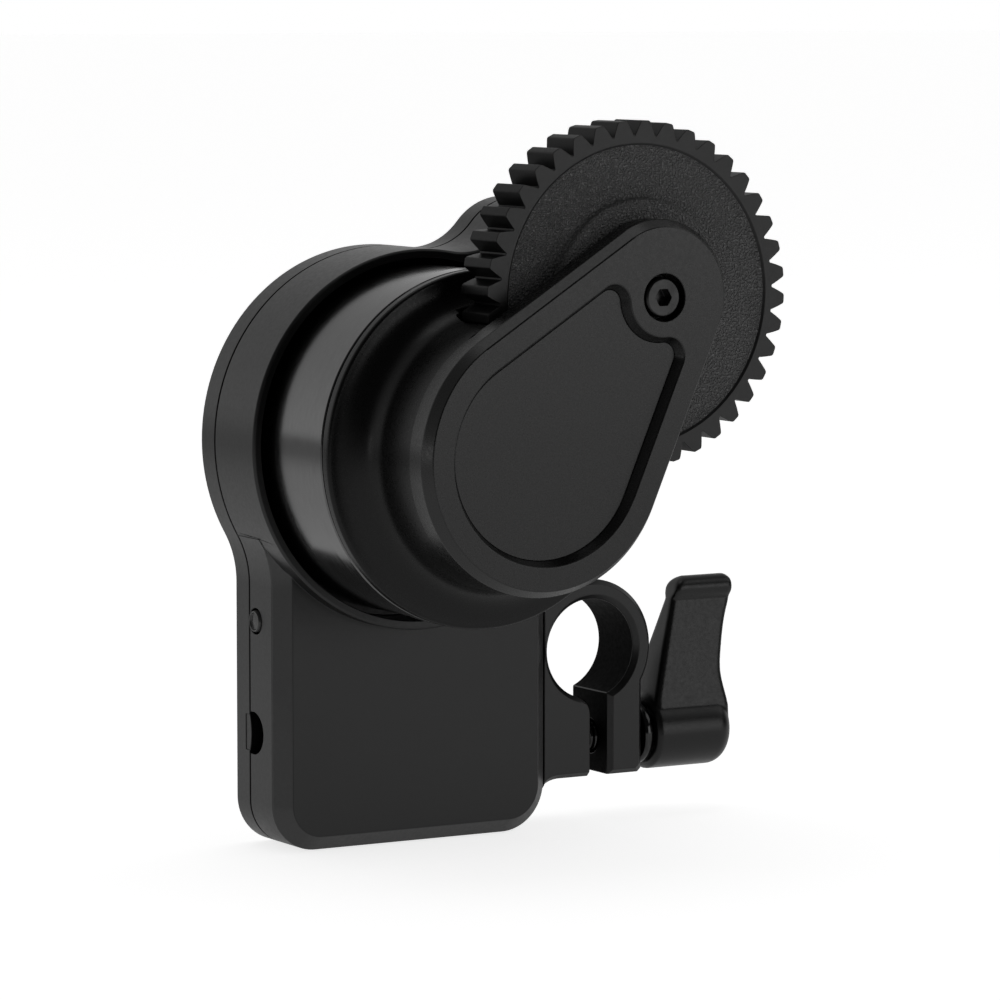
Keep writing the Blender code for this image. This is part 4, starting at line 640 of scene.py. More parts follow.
def metal(name, dark, light, rough_low, rough_high, stretch, scale=LINE_SCALE, strength=0.35):
    """Turned or drawn metal with fine lines along one way."""
    made, tree, shader = node_material(name)
    lines = noise(tree, scale, stretch=stretch)
    tree.links.new(tint(tree, lines, dark, light), shader.inputs["Base Color"])
    tree.links.new(spread(tree, lines, rough_low, rough_high), shader.inputs["Roughness"])
    tree.links.new(bump(tree, lines, LINE_DEPTH, strength), shader.inputs["Normal"])
    shader.inputs["Metallic"].default_value = 1.0
    return made


def gear_plastic(name, dark, light, leather=0, gloss=0.5):
    """Moulded black plastic, plain on the teeth and with a leather-like grain on the web and the boss."""
    made, tree, shader = node_material(name)
    fine = noise(tree, MOULD_SCALE, detail=2)
    cloud = noise(tree, PEBBLE_SCALE if leather else MOULD_CLOUD_SCALE, detail=1)
    tree.links.new(tint(tree, cloud, dark, light), shader.inputs["Base Color"])
    tree.links.new(spread(tree, fine, *MOULD_ROUGHNESS), shader.inputs["Roughness"])
    shader.inputs["Specular IOR Level"].default_value = gloss
    normal = None
    if leather:
        pebble = noise(tree, PEBBLE_SCALE, detail=1, roughness=0.5)
        normal = bump(tree, spread(tree, pebble, 0, 1, PEBBLE_BAND), PEBBLE_DEPTH, leather)
    tree.links.new(bump(tree, fine, MOULD_DEPTH, MOULD_STRENGTH, normal), shader.inputs["Normal"])
    return made


def dress(material, *names):
    """Gives CAD nodes a material."""
    for name in names:
        for held in frame["nodes"][name].material_slots:
            held.material = material


SHELL = anodised("anodised_shell", 0.0016, 0.0026, 0.32, 0.40)
ARM = anodised("anodised_arm", 0.0016, 0.0026, 0.24, 0.31)
# Darker, less reflective copy of the arm's anodised finish for the disc and drum behind the plate: painted shade
# where the arm and wheel shut out the light.
DRUM = anodised("drum_painted_shade", 0.0012, 0.0018, 0.26, 0.32, gloss=0.28)
CLAMP = anodised("anodised_clamp", 0.0016, 0.0026, 0.30, 0.38)
LEVER = anodised("anodised_lever", 0.0016, 0.0026, 0.28, 0.36, gloss=0.42)
# Near-black, matt copy of the anodised finish for the inside of the rod bore and the slit: painted shade in those
# hollows.
BORE = anodised("bore_painted_shade", 0.0005, 0.0010, 0.60, 0.75, gloss=0.05)
# Lighter, glossier copy of the anodised finish for the box's front chamfer: a painted highlight for the light
# those faces catch.
BEVEL = anodised("chamfer_painted_highlight", 0.0060, 0.0120, 0.36, 0.48, 0.9, gloss=0.80)
RING = metal("turned_black_ring", grey(0.125), grey(0.15), 0.15, 0.21, (1, 7, 1), 700, 0.12)
DARK_STEEL = metal("blackened_steel", grey(0.035), grey(0.060), 0.24, 0.34, (1, 6, 1))
STUD_STEEL = metal("dark_clamp_steel", grey(0.035), grey(0.06), 0.10, 0.18, (6, 1, 1))
STEEL = metal("turned_steel", grey(0.42), grey(0.58), 0.22, 0.36, (1, 6, 1))
BRASS = metal("machined_brass", (0.58, 0.40, 0.16), (0.72, 0.52, 0.24), 0.22, 0.36, (1, 6, 1))
COPPER = metal("lacquered_copper", (0.42, 0.16, 0.06), (0.60, 0.25, 0.10), 0.28, 0.42, (1, 12, 1), 1500)
TEETH = gear_plastic("moulded_black", grey(0.008), grey(0.012))
WEB = gear_plastic("moulded_black_leather_grain", grey(0.050), grey(0.105), leather=1.0, gloss=0.8)
# Darker, duller copy of the plastic for the sides of the teeth: painted shade in the gaps between them.
FLANK_SHADE = gear_plastic("flank_painted_shade", grey(0.002), grey(0.003), gloss=0.15)
LIP = anodised("satin_socket_lip", 0.012, 0.020, 0.30, 0.40)
BOARD = anodised("board_lacquer", 0.02, 0.04, 0.30, 0.45)
LIGHT = anodised("light_guide", 0.03, 0.05, 0.18, 0.28)

dress(BRASS, "motor_pinion", "idler_gear", "output_gear")
dress(STEEL, "motor_axle", "front_motor_bearing", "rear_motor_bearing", "rotor_magnet", "stator_core", "idler_pin")
dress(DARK_STEEL, "lever_screw", "drive_sleeve",
      *[name for name in frame["nodes"] if "screw_" in name and not name.startswith("lever")])
dress(COPPER, *[name for name in frame["nodes"] if name.startswith("stator_coil")])
dress(BOARD, "control_board")


def solid(name, mesh):
    """Links a mesh as an object."""
    piece = bpy.data.objects.new(name, mesh)
    bpy.context.scene.collection.objects.link(piece)
    return piece


def worked(piece):
    """Works an object's modifiers into its mesh."""
    bpy.context.view_layer.update()
    mesh = bpy.data.meshes.new_from_object(piece.evaluated_get(bpy.context.evaluated_depsgraph_get()))
    piece.modifiers.clear()
    piece.data = mesh
    return piece


def combine(target, mesh, operation):
    """Cuts a closed mesh out of an object or joins it on."""
    tool = solid("tool", mesh)
    step = target.modifiers.new("step", "BOOLEAN")
    step.object = tool
    step.operation = operation
    step.solver = "EXACT"
    worked(target)
    bpy.data.objects.remove(tool, do_unlink=True)


def carve(target, mesh):
    """Cuts a closed mesh out of an object."""
    combine(target, mesh, "DIFFERENCE")


def add(target, mesh):
    """Joins a closed mesh onto an object."""
    combine(target, mesh, "UNION")


def drill(target, radius, start, end, steps, place):
    """Cuts a round hole along X, which starts and ends at distances from a place."""
    hole = along_x(rod_mesh("hole", radius, start, end, steps))
    hole.transform(Matrix.Translation(place))
    carve(target, hole)


def merge_doubles(mesh):
    """Merges the points that the cuts left on top of each other."""
    bm = bmesh.new()
    bm.from_mesh(mesh)
    bmesh.ops.remove_doubles(bm, verts=bm.verts, dist=TINY)
    bm.to_mesh(mesh)
    bm.free()


def soften(piece, bevel):
    """Rounds an object's sharp edges and shades it smooth."""
    piece.data.shade_smooth()
    if bevel:
        edge = piece.modifiers.new("edge", "BEVEL")
        edge.width = bevel
        edge.segments = EDGE_SEGMENTS
        edge.limit_method = "ANGLE"
        edge.angle_limit = EDGE_ANGLE
        edge.harden_normals = True
        edge.use_clamp_overlap = False
        edge.miter_outer = "MITER_ARC"
    piece.modifiers.new("normals", "WEIGHTED_NORMAL").keep_sharp = True
    return worked(piece)


def finish_cut(piece, bevel, main, other, where):
    """Finishes a piece with two materials, the second on the faces that where picks."""
    merge_doubles(piece.data)
    soften(piece, bevel)
    piece.data.materials.append(main)
    piece.data.materials.append(other)
    for face in piece.data.polygons:
        face.material_index = int(where(face))


def stand_in(piece, node, slot_name, *materials):
    """Puts a finished piece in the place of its CAD node."""
    if materials:
        piece.data.materials.clear()
        for material in materials:
            piece.data.materials.append(material)
    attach(piece, body_of(frame["nodes"][node])[0])
    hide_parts(node)
    return piece


def housing():
    """The front shell: motor cup, lobe and box, hollow from behind."""
    outer = cup_outline(ROUND_TRIM)
    shell = solid("fine_main_housing", loft_mesh("fine_main_housing", [
        (RIM, cup_outline(RIM_CHAMFER)), (RIM + RIM_CHAMFER, outer), (HOUSING_BACK, outer)]))
    outer = box_outline(ROUND_TRIM)
    add(shell, loft_mesh("box", [
        (BOX_FACE, box_outline(BOX_CHAMFER)), (BOX_FACE + BOX_CHAMFER, outer), (HOUSING_BACK, outer)]))
    carve(shell, rod_mesh("cup_bore", CUP_BORE_RADIUS, RIM - OVERRUN, FLOOR_FRONT, FINE_ROUND, MOTOR))
    for front, outline in ((FLOOR_BACK, housing_outline(HOUSING_WALL)),
                           (BOX_HOLLOW_FRONT, box_hollow_outline(HOUSING_WALL))):
        carve(shell, loft_mesh("hollow", [(front, outline), (HOUSING_BACK + OVERRUN, outline)]))
    for spot in LOW_BOSSES:
        add(shell, boss_mesh(BOX_FACE + BOX_CHAMFER + BOSS_ROOT, FLOOR_BACK, HOUSING_BACK, spot))
    for spot in BODY_BOSSES:
        add(shell, boss_mesh(FLOOR_BACK - CUP_FLOOR / 2, FLOOR_BACK, HOUSING_BACK, spot))
    for spot in BOARD_POSTS:
        add(shell, boss_mesh(BOX_HOLLOW_FRONT - BOSS_ROOT, BOX_HOLLOW_FRONT,
                             BOX_HOLLOW_FRONT + BOARD_POST_HEIGHT, spot))
    through = FLOOR_BACK + OVERRUN
    add(shell, rod_mesh("post", POST_RADIUS, POST_FRONT, FLOOR_BACK - CUP_FLOOR / 2, MID_ROUND, MOTOR))
    carve(shell, rod_mesh("post_bore", POST_BORE, POST_FRONT - OVERRUN, through, MID_ROUND, MOTOR))
    carve(shell, rod_mesh("sleeve", SLEEVE_RADIUS + RUN_GAP, RIM - OVERRUN, through, HOLE_ROUND, GEAR))
    carve(shell, rod_mesh("pin", IDLER_PIN_RADIUS + FIT_GAP, FLOOR_BACK - IDLER_PIN_BITE - FIT_GAP, through,
                          SMALL_ROUND, IDLER))
    drill(shell, PORT_RADIUS, -OVERRUN, HOUSING_WALL + OVERRUN, HOLE_ROUND, (BOX_LEFT, SOCKET_Y, SOCKET_Z))
    drill(shell, LIGHT_RADIUS + SIDE_HOLE_GAP, -OVERRUN, LIGHT_LENGTH + FIT_GAP, HOLE_ROUND,
          (BOX_LEFT, LIGHT_Y, LIGHT_Z))
    for drop in BRACKET_SCREW_DROPS:
        drill(shell, SCREW_RADIUS + FIT_GAP, -HOUSING_WALL - OVERRUN, OVERRUN, SMALL_ROUND,
              (BOX_RIGHT, BRACKET_SCREW_Y, -drop))

    def on_chamfer(face):
        in_band = BOX_FACE + TINY < face.center.y < BOX_FACE + BOX_CHAMFER - TINY
        return in_band and BEVEL_FACING[0] < face.normal.y < BEVEL_FACING[1]

    # The box's front chamfer faces get the lighter copy of the finish, a painted highlight.
    finish_cut(shell, HOUSING_EDGE, SHELL, BEVEL, on_chamfer)
    stand_in(shell, "main_housing", "anodised_black")


def port_tab_mesh():
    """The round-nosed tab of the cover that closes the rear part of the port."""
    radius = (PORT_RADIUS ** 2 + PORT_TAB_RISE ** 2) / (2 * PORT_TAB_RISE)
    half = math.asin((PORT_RADIUS - FIT_GAP) / radius)
    nose = arc((PORT_TAB_RISE - radius, 0), radius, -half, half, NOSE_STEP)
    rear = nose[0][0] - PORT_TAB_RISE * 2
    outline = [(a - COVER_FRONT, z + SOCKET_Z) for a, z in nose + [(rear, nose[-1][1]), (rear, nose[0][1])]]
    return along_x(loft_mesh("port_tab", [(BOX_LEFT, outline), (BOX_LEFT + HOUSING_WALL, outline)]))


def rear_cover():
    """The shallow tray that closes the back."""
    outer = housing_outline(ROUND_TRIM)
    cover = solid("fine_rear_cover", loft_mesh("fine_rear_cover", [
        (COVER_FRONT, outer), (BACK - BACK_CHAMFER, outer), (BACK, housing_outline(BACK_CHAMFER))]))
    inner = housing_outline(HOUSING_WALL)
    tray = solid("tray", loft_mesh("tray", [(COVER_FRONT - OVERRUN, inner), (COVER_INSIDE, inner)]))
    for spot in LOW_BOSSES + BODY_BOSSES:
        carve(tray, rod_mesh("boss", BOSS_RADIUS, COVER_FRONT - 2 * OVERRUN, BACK, HOLE_ROUND, spot))
    carve(cover, tray.data.copy())
    bpy.data.objects.remove(tray, do_unlink=True)
    under = BACK - SCREW_HEAD_DEPTH - SCREW_SINK - FIT_GAP
    hole = stepped(COVER_FRONT - OVERRUN, (SCREW_RADIUS + FIT_GAP, under),
                   (SCREW_HEAD_RADIUS + FIT_GAP, BACK + OVERRUN))
    for spot in LOW_BOSSES + BODY_BOSSES:
        carve(cover, turned_mesh("hole", hole, HOLE_ROUND, spot))
    for radius, spot in ((AXLE_RADIUS, MOTOR), (AXLE_SCREW_RADIUS, GEAR)):
        carve(cover, rod_mesh("seat", radius + FIT_GAP, COVER_INSIDE - OVERRUN, COVER_INSIDE + BACK_PLATE_SEAT,
                              SMALL_ROUND, spot))
    add(cover, port_tab_mesh())
    merge_doubles(cover.data)
    stand_in(soften(cover, COVER_EDGE), "rear_cover", "anodised_black", SHELL)


def arm_body_mesh():
    """Disc, filleted drum and plate as one skin: the plate's round end runs straight on into the drum."""
    lean = arm_side_turn(DRUM_RADIUS, ARM_SMALL_RADIUS)
    left = TRAIN_ANGLE + QUARTER - lean
    right = TRAIN_ANGLE - QUARTER + lean + math.tau
    big = [left + (right - left) * i / ARM_BIG_STEPS for i in range(ARM_BIG_STEPS + 1)]
    small = [right + (left + math.tau - right) * i / ARM_SMALL_STEPS for i in range(ARM_SMALL_STEPS + 1)]
    hidden = small[1:-1]
    bm = bmesh.new()

    def ring(centre, radius, turns, y):
        return [bm.verts.new((centre.x + radius * math.cos(t), y, centre.y + radius * math.sin(t))) for t in turns]

    plate = [ring(MOTOR, DRUM_RADIUS - inset, big, y) + ring(GEAR, ARM_SMALL_RADIUS - inset, small, y)
             for y, inset in ((ARM_FACE, ARM_CHAMFER_WIDE), (ARM_FACE + ARM_CHAMFER_DEEP, 0), (ARM_BACK, 0))]
    for ahead, behind in zip(plate, plate[1:]):
        skin(bm, ahead, behind)
    bm.faces.new(plate[0])
    rear = plate[-1]
    under = ring(MOTOR, DRUM_RADIUS, hidden, ARM_BACK)
    shared = rear[:len(big)]
    bm.faces.new(rear[len(big):] + [shared[0]] + list(reversed(under)) + [shared[-1]])
    start = DISC_FRONT - DRUM_FILLET
    profile = [(DRUM_RADIUS, start)]
    profile += arc((DRUM_RADIUS + DRUM_FILLET, start), DRUM_FILLET, math.pi, QUARTER, FILLET_STEP)[1:]
    profile += arc((BELL_RADIUS - DISC_EDGE, DISC_FRONT + DISC_EDGE), DISC_EDGE, -QUARTER, 0, FILLET_STEP)
    seat = FLANGE_RADIUS + RUN_GAP
    profile += [(BELL_RADIUS, DISC_BACK), (seat, DISC_BACK), (seat, ARM_SEAT)]
    before = shared + under
    for radius, y in profile:
        loop = ring(MOTOR, radius, big + hidden, y)
        skin(bm, before, loop)
        before = loop
    bm.faces.new(before)
    return mesh_of("fine_gear_arm", bm)


def gear_arm():
    """The arm with its recess, screw holes and the slot that the wheel runs in, and the plate in the recess."""
    arm = solid("fine_gear_arm", arm_body_mesh())
    slot = stepped(ARM_BACK, (GEAR_BOSS_RADIUS + GEAR_SLOT_GAP, GEAR_FRONT - GEAR_SLOT_GAP),
                   (GEAR_TIP_RADIUS + GEAR_SLOT_GAP, GEAR_BACK + GEAR_SLOT_GAP))
    carve(arm, turned_mesh("slot", slot, BORE_ROUND, GEAR))
    wide = recess_outline(0)
    narrow = recess_outline(RECESS_SLOPE)
    carve(arm, loft_mesh("recess", [
        (ARM_FACE - OVERRUN, wide), (ARM_FACE, wide), (RECESS_FLOOR, narrow), (POCKET_FLOOR, narrow)]))
    under = ARM_FACE + ARM_SCREW_SINK + ARM_SCREW_HEAD_DEPTH + FIT_GAP
    bore = stepped(ARM_FACE - OVERRUN, (COUNTERBORE_RADIUS, under),
                   (AXLE_SCREW_RADIUS + FIT_GAP, ARM_BACK + OVERRUN))
    carve(arm, turned_mesh("bore", bore, HOLE_ROUND, GEAR))
    hole = stepped(POCKET_FLOOR - FIT_GAP, (SCREW_HEAD_RADIUS + FIT_GAP, ARM_SCREW_SEAT),
                   (SCREW_RADIUS + FIT_GAP, ARM_SEAT + OVERRUN))
    for spot in FLANGE_SCREWS:
        carve(arm, turned_mesh("flange_screw", hole, MID_ROUND, spot))
    # The faces behind the plate, the disc and the drum, get the darker copy: painted shade.
    finish_cut(arm, ARM_EDGE, ARM, DRUM, lambda face: face.center.y > ARM_BACK + TINY)
    stand_in(arm, "gear_arm", "anodised_black")
    outline = recess_outline(RECESS_SLOPE + PLATE_SEAM)
    plate = solid("fine_arm_cover_plate", loft_mesh("fine_arm_cover_plate", [
        (RECESS_FLOOR, outline), (RECESS_FLOOR + COVER_PLATE, outline)]))
    stand_in(soften(plate, PLATE_EDGE), "arm_cover_plate", "anodised_black", ARM)


def bell():
    """The ring of the rotor that shows between the cup and the disc, with its groove."""
    web = RING_FRONT + BELL_WEB
    groove = RING_FRONT + GROOVE_BACK
    groove_end = groove + RING_GROOVE_WIDTH
    low = BELL_RADIUS - RING_GROOVE_SINK
    inner = BELL_REAR_RADIUS - BELL_WALL
    profile = [(HUB_BORE, RING_FRONT), (BELL_RADIUS - BELL_CORNER, RING_FRONT),
               (BELL_RADIUS, RING_FRONT + BELL_CORNER), (BELL_RADIUS, groove), (low, groove), (low, groove_end),
               (BELL_REAR_RADIUS, groove_end), (BELL_REAR_RADIUS, BELL_BACK), (inner, BELL_BACK), (inner, web),
               (HUB_RADIUS, web), (HUB_RADIUS, HUB_BACK), (HUB_BORE, HUB_BACK)]
    ring = solid("fine_rotor_bell", turned_mesh("fine_rotor_bell", profile, FINE_ROUND, MOTOR))
    stand_in(soften(ring, BELL_EDGE), "rotor_bell", "blackened_steel", RING)


def wheel():
    """The toothed wheel: plain teeth and rim, a grained web and a raised boss."""
    side = [(half / radius, radius) for radius, half in TOOTH_SIDE]
    places = []
    for i in range(GEAR_TEETH):
        middle = GEAR_PHASE + math.tau * i / GEAR_TEETH
        places += [(middle - turn, radius) for turn, radius in side]
        places += [(middle + turn, radius) for turn, radius in reversed(side)]
    bm = bmesh.new()

    def teeth(y):
        return [bm.verts.new((radius * math.cos(t), y, radius * math.sin(t))) for t, radius in places]

    def ring(radius, y):
        return [bm.verts.new((radius * math.cos(t), y, radius * math.sin(t))) for t, _ in places]

    def run(before, profile):
        """Skins on from a loop through the rings of a profile, with the web's grain."""
        for radius, y in profile:
            loop = ring(radius, y)
            skin(bm, loop, before, 1)
            before = loop
        return before

    boss = GEAR_FRONT - GEAR_BOSS_RISE
    web = GEAR_FRONT + GEAR_WEB_SINK
    rear_web = GEAR_BACK - GEAR_REAR_SINK
    hole = SLEEVE_RADIUS + FIT_GAP
    front = teeth(GEAR_FRONT)
    back = teeth(GEAR_BACK)
    # The sides of the teeth take material 2, the darker copy: painted shade.
    skin(bm, front, back, 2)
    edge = ring(GEAR_WEB_RADIUS + GEAR_WEB_SINK, GEAR_FRONT)
    skin(bm, edge, front)
    sunk = ring(GEAR_WEB_RADIUS, web)
    skin(bm, sunk, edge)
    foot = arc((GEAR_BOSS_RADIUS + BOSS_FOOT, web - BOSS_FOOT), BOSS_FOOT, QUARTER, math.pi, FILLET_STEP)
    head = arc((GEAR_BOSS_RADIUS - GEAR_BOSS_ROUND, boss + GEAR_BOSS_ROUND), GEAR_BOSS_ROUND, 0, -QUARTER,
               FILLET_STEP)
    bore = ring(hole, GEAR_BACK)
    skin(bm, bore, run(sunk, foot + head + [(hole, boss)]))
    skin(bm, back, run(bore, ((GEAR_BOSS_RADIUS, GEAR_BACK), (GEAR_BOSS_RADIUS, rear_web),
                              (GEAR_WEB_RADIUS, rear_web), (GEAR_WEB_RADIUS, GEAR_BACK))))
    mesh = mesh_of("fine_follow_gear", bm)
    mesh.transform(Matrix.Translation((GEAR.x, 0, GEAR.y)))
    for material in (TEETH, WEB, FLANK_SHADE):
        mesh.materials.append(material)
    stand_in(soften(solid("fine_follow_gear", mesh), GEAR_EDGE), "follow_gear", "black_plastic")


def bracket_outline(inset):
    """The rod clamp from the front: ring, foot and jaw."""
    ring = CLAMP_RING_RADIUS - inset
    low = -JAW_DROP + inset
    right = JAW_RIGHT - inset
    start = -math.acos(right / ring)
    reach = QUARTER + math.atan2(FOOT_FLARE, CLAMP_FOOT_LEFT) - start
    top = [(ring * math.cos(t), ring * math.sin(t))
           for t in (start + reach * i / CLAMP_STEPS for i in range(CLAMP_STEPS + 1))]
    flare = [(BRACKET_LEFT + FOOT_FLARE * (1 - math.cos(t)) * 2, low - FOOT_FLARE * (1 - math.sin(t)))
             for t in (QUARTER * i / FLARE_STEPS for i in range(FLARE_STEPS + 1))]
    return (top + [(BRACKET_LEFT, CLAMP_FOOT_TOP - inset)] + flare
            + [(right - JAW_CORNER, low), (right, low + JAW_CORNER)])


def slit_outline(chamfer):
    """The slit below the bore, with a round lip on its left."""
    low = -JAW_DROP - OVERRUN - FOOT_FLARE
    aside = SLIT_LEFT - JAW_ROUND
    centre = (aside, -math.sqrt((ROD_BORE_RADIUS + JAW_ROUND) ** 2 - aside ** 2))
    corner = arc(centre, JAW_ROUND, 0, math.atan2(-centre[1], -centre[0]))
    right = SLIT_RIGHT + chamfer
    return [(SLIT_LEFT, low)] + corner + [(SLIT_LEFT, 0), (right, 0), (right, low)]


def bracket():
    """The split rod clamp with its foot."""
    front = BACK - CLAMP_DEPTH
    small, full = bracket_outline(CLAMP_CHAMFER), bracket_outline(0)
    clamp = solid("fine_rod_clamp_bracket", loft_mesh("fine_rod_clamp_bracket", [
        (front, small), (front + CLAMP_CHAMFER, full), (BACK - CLAMP_CHAMFER, full), (BACK, small)]))
    wide = ROD_BORE_RADIUS + CLAMP_CHAMFER
    bore = [(0, front - OVERRUN), (wide, front - OVERRUN), (wide, front), (ROD_BORE_RADIUS, front + CLAMP_CHAMFER),
            (ROD_BORE_RADIUS, BACK - CLAMP_CHAMFER), (wide, BACK), (wide, BACK + OVERRUN), (0, BACK + OVERRUN)]
    carve(clamp, turned_mesh("rod_bore", bore, BORE_ROUND))
    open_slit, slit = slit_outline(SLIT_CHAMFER), slit_outline(0)
    carve(clamp, loft_mesh("slit", [
        (front - OVERRUN, open_slit), (front, open_slit), (front + SLIT_CHAMFER, slit),
        (BACK - SLIT_CHAMFER, slit), (BACK, open_slit), (BACK + OVERRUN, open_slit)]))
    drill(clamp, STUD_RADIUS + FIT_GAP, STUD_LEFT - FIT_GAP, JAW_RIGHT + OVERRUN, HOLE_ROUND, (0, 0, STUD_Z))
    for drop in BRACKET_SCREW_DROPS:
        drill(clamp, SCREW_RADIUS + FIT_GAP, -OVERRUN, BRACKET_SCREW_BITE + FIT_GAP, SMALL_ROUND,
              (BRACKET_LEFT, BRACKET_SCREW_Y, -drop))

    def inside(face):
        x, y, z = face.center
        in_bore = math.hypot(x, z) < ROD_BORE_RADIUS + TINY and abs(y) < BACK - CLAMP_CHAMFER
        in_slit = SLIT_LEFT - TINY < x < SLIT_RIGHT + TINY and z < 0 and abs(face.normal.x) > SLIT_FACING
        return in_bore or in_slit

    # The bore and slit faces get the near-black copy: painted shade.
    finish_cut(clamp, CLAMP_EDGE, CLAMP, BORE, inside)
    stand_in(clamp, "rod_clamp_bracket", "anodised_black")


def lever():
    """The winged lever, cast in soft curves: a round hub and a tapering wing with a bead along its end."""
    hub = [(0, LEVER_LEFT), (LEVER_HUB_RADIUS - LEVER_LEFT_ROUND, LEVER_LEFT),
           (LEVER_HUB_RADIUS, LEVER_LEFT + LEVER_LEFT_ROUND)]
    end = arc((LEVER_RIGHT - LEVER_ROUND, LEVER_HUB_RADIUS - LEVER_ROUND), LEVER_ROUND, QUARTER, 0, FILLET_STEP)
    hub += [(radius, x) for x, radius in end] + [(0, LEVER_RIGHT)]
    piece = solid("fine_clamp_lever", along_x(turned_mesh("fine_clamp_lever", hub, BORE_ROUND)))
    add(piece, tube_mesh("wing", [wing_loop(height, *wing_sides(height), half) for half, height in wing_levels()]))
    cast = piece.modifiers.new("cast", "REMESH")
    cast.mode = "VOXEL"
    cast.voxel_size = LEVER_VOXEL
    worked(piece)
    smooth = piece.modifiers.new("smooth", "SMOOTH")
    smooth.factor = 0.5
    smooth.iterations = LEVER_SMOOTHING
    worked(piece)
    shoulder = LEVER_LEFT + SPLINE_LENGTH + FIT_GAP
    inside = stepped(LEVER_LEFT - OVERRUN, (LEVER_BORE_RADIUS, shoulder),
                     (LEVER_SCREW_RADIUS + FIT_GAP, shoulder + LEVER_END_WALL),
                     (LEVER_BORE_RADIUS, LEVER_RIGHT + OVERRUN))
    carve(piece, along_x(turned_mesh("lever_bore", inside, HOLE_ROUND)))
    piece.data.transform(Matrix.Translation((-ROUND_TRIM, 0, STUD_Z)))
    piece.data.shade_smooth()
    piece.data.set_sharp_from_angle(angle=LEVER_SHARP)
    stand_in(piece, "clamp_lever", "anodised_black", LEVER)


def right_inset(height):
    """How far the right edge of the lever's wing stands in from the hub's end at a height."""
    height = min(height, LEVER_WAIST[-1][0] * MM)
    for (low, first), (high, second) in zip(LEVER_WAIST, LEVER_WAIST[1:]):
        if height <= high * MM:
            return (first + (second - first) * (height / MM - low) / (high - low)) * MM


def wing_sides(height):
    """Left and right edge of the lever's wing at a height above the clamp screw."""
    foot = LEVER_HUB_RADIUS - LEVER_LEFT_ROUND
    rise = max(0, height - foot) / (LEVER_HEIGHT - foot)
    left = LEVER_LEFT + LEVER_LEFT_ROUND + (LEVER_TOP_LEFT - LEVER_LEFT_ROUND) * rise
    right = LEVER_RIGHT - right_inset(height)
    over_left = max(0, height - LEVER_HEIGHT + LEVER_TOP_LEFT_ROUND)
    over_right = max(0, height - LEVER_HEIGHT + LEVER_TOP_ROUND)
    left += LEVER_TOP_LEFT_ROUND - math.sqrt(LEVER_TOP_LEFT_ROUND ** 2 - over_left ** 2)
    right -= LEVER_TOP_ROUND - math.sqrt(LEVER_TOP_ROUND ** 2 - over_right ** 2)
    return left, right


def wing_levels():
    """Half thickness and height of each level of the lever's wing: root, taper and round bead."""
    neck = LEVER_NECK / 2
    root = LEVER_ROOT_THICKNESS / 2
    swell = math.acos(neck / LEVER_BEAD_RADIUS)
    bead = arc((0, LEVER_HEIGHT - LEVER_BEAD_RADIUS), LEVER_BEAD_RADIUS, -swell, QUARTER, FILLET_STEP)[:-1]
    start = math.sqrt(LEVER_HUB_RADIUS ** 2 - root ** 2)
    rise = bead[0][1] - start
    taper = [(root + (neck - root) * i / WING_STEPS, start + rise * i / WING_STEPS) for i in range(WING_STEPS)]
    return [(root, 0)] + taper + bead


def wing_loop(z, left, right, half):
    """A rectangle with rounded corners across the lever's wing at one height."""
    corner = min(LEVER_CORNER, half * WING_ROUND_SHARE)
    points = []
    for x, y, turn in ((left + corner, half - corner, QUARTER), (left + corner, corner - half, math.pi),
                       (right - corner, corner - half, -QUARTER), (right - corner, half - corner, 0)):
        for i in range(WING_CORNER_STEPS + 1):
            bend = turn + QUARTER * i / WING_CORNER_STEPS
            points.append((x + corner * math.cos(bend), y + corner * math.sin(bend), z))
    return points


def turned_piece(node, profile, steps, place, slot_name, material, bevel=0.0):
    """A piece turned about an axis along X, with fine steps, in the place of its CAD node."""
    mesh = along_x(turned_mesh("fine_" + node, profile, steps))
    mesh.transform(Matrix.Translation(place))
    stand_in(soften(solid("fine_" + node, mesh), bevel), node, slot_name, material)


def clamp_hardware():
    """The clamp screw and the collar beside the jaw."""
    bore = STUD_RADIUS + FIT_GAP
    rim = WASHER_RADIUS - COLLAR_CORNER
    end = WASHER_LEFT + WASHER_THICKNESS
    collar = [(bore, WASHER_LEFT), (rim, WASHER_LEFT), (WASHER_RADIUS, WASHER_LEFT + COLLAR_CORNER),
              (WASHER_RADIUS, end - COLLAR_CORNER), (rim, end), (bore, end)]
    at_stud = (0, 0, STUD_Z)
    turned_piece("clamp_washer", collar, BORE_ROUND, at_stud, "blackened_steel", STUD_STEEL)
    crest_end, dip, next_crest = (THREAD_PITCH * share for share in THREAD_SHAPE)
    root = STUD_RADIUS - THREAD_DEPTH
    profile = [(0, STUD_LEFT), (STUD_RADIUS, STUD_LEFT)]
    for i in range(int((JAW_RIGHT - STUD_LEFT) / THREAD_PITCH)):
        x = STUD_LEFT + THREAD_PITCH * i
        profile += [(STUD_RADIUS, x + crest_end), (root, x + dip), (STUD_RADIUS, x + next_crest)]
    head = SPLINE_RADIUS - SPLINE_SINK / 2
    bore = LEVER_SCREW_RADIUS + FIT_GAP
    profile += [(STUD_RADIUS, LEVER_LEFT), (head, LEVER_LEFT), (head, LEVER_LEFT + SPLINE_LENGTH),
                (bore, LEVER_LEFT + SPLINE_LENGTH), (bore, LEVER_LEFT + FIT_GAP), (0, LEVER_LEFT + FIT_GAP)]
    turned_piece("clamp_stud", profile, HOLE_ROUND, at_stud, "blackened_steel", STUD_STEEL)


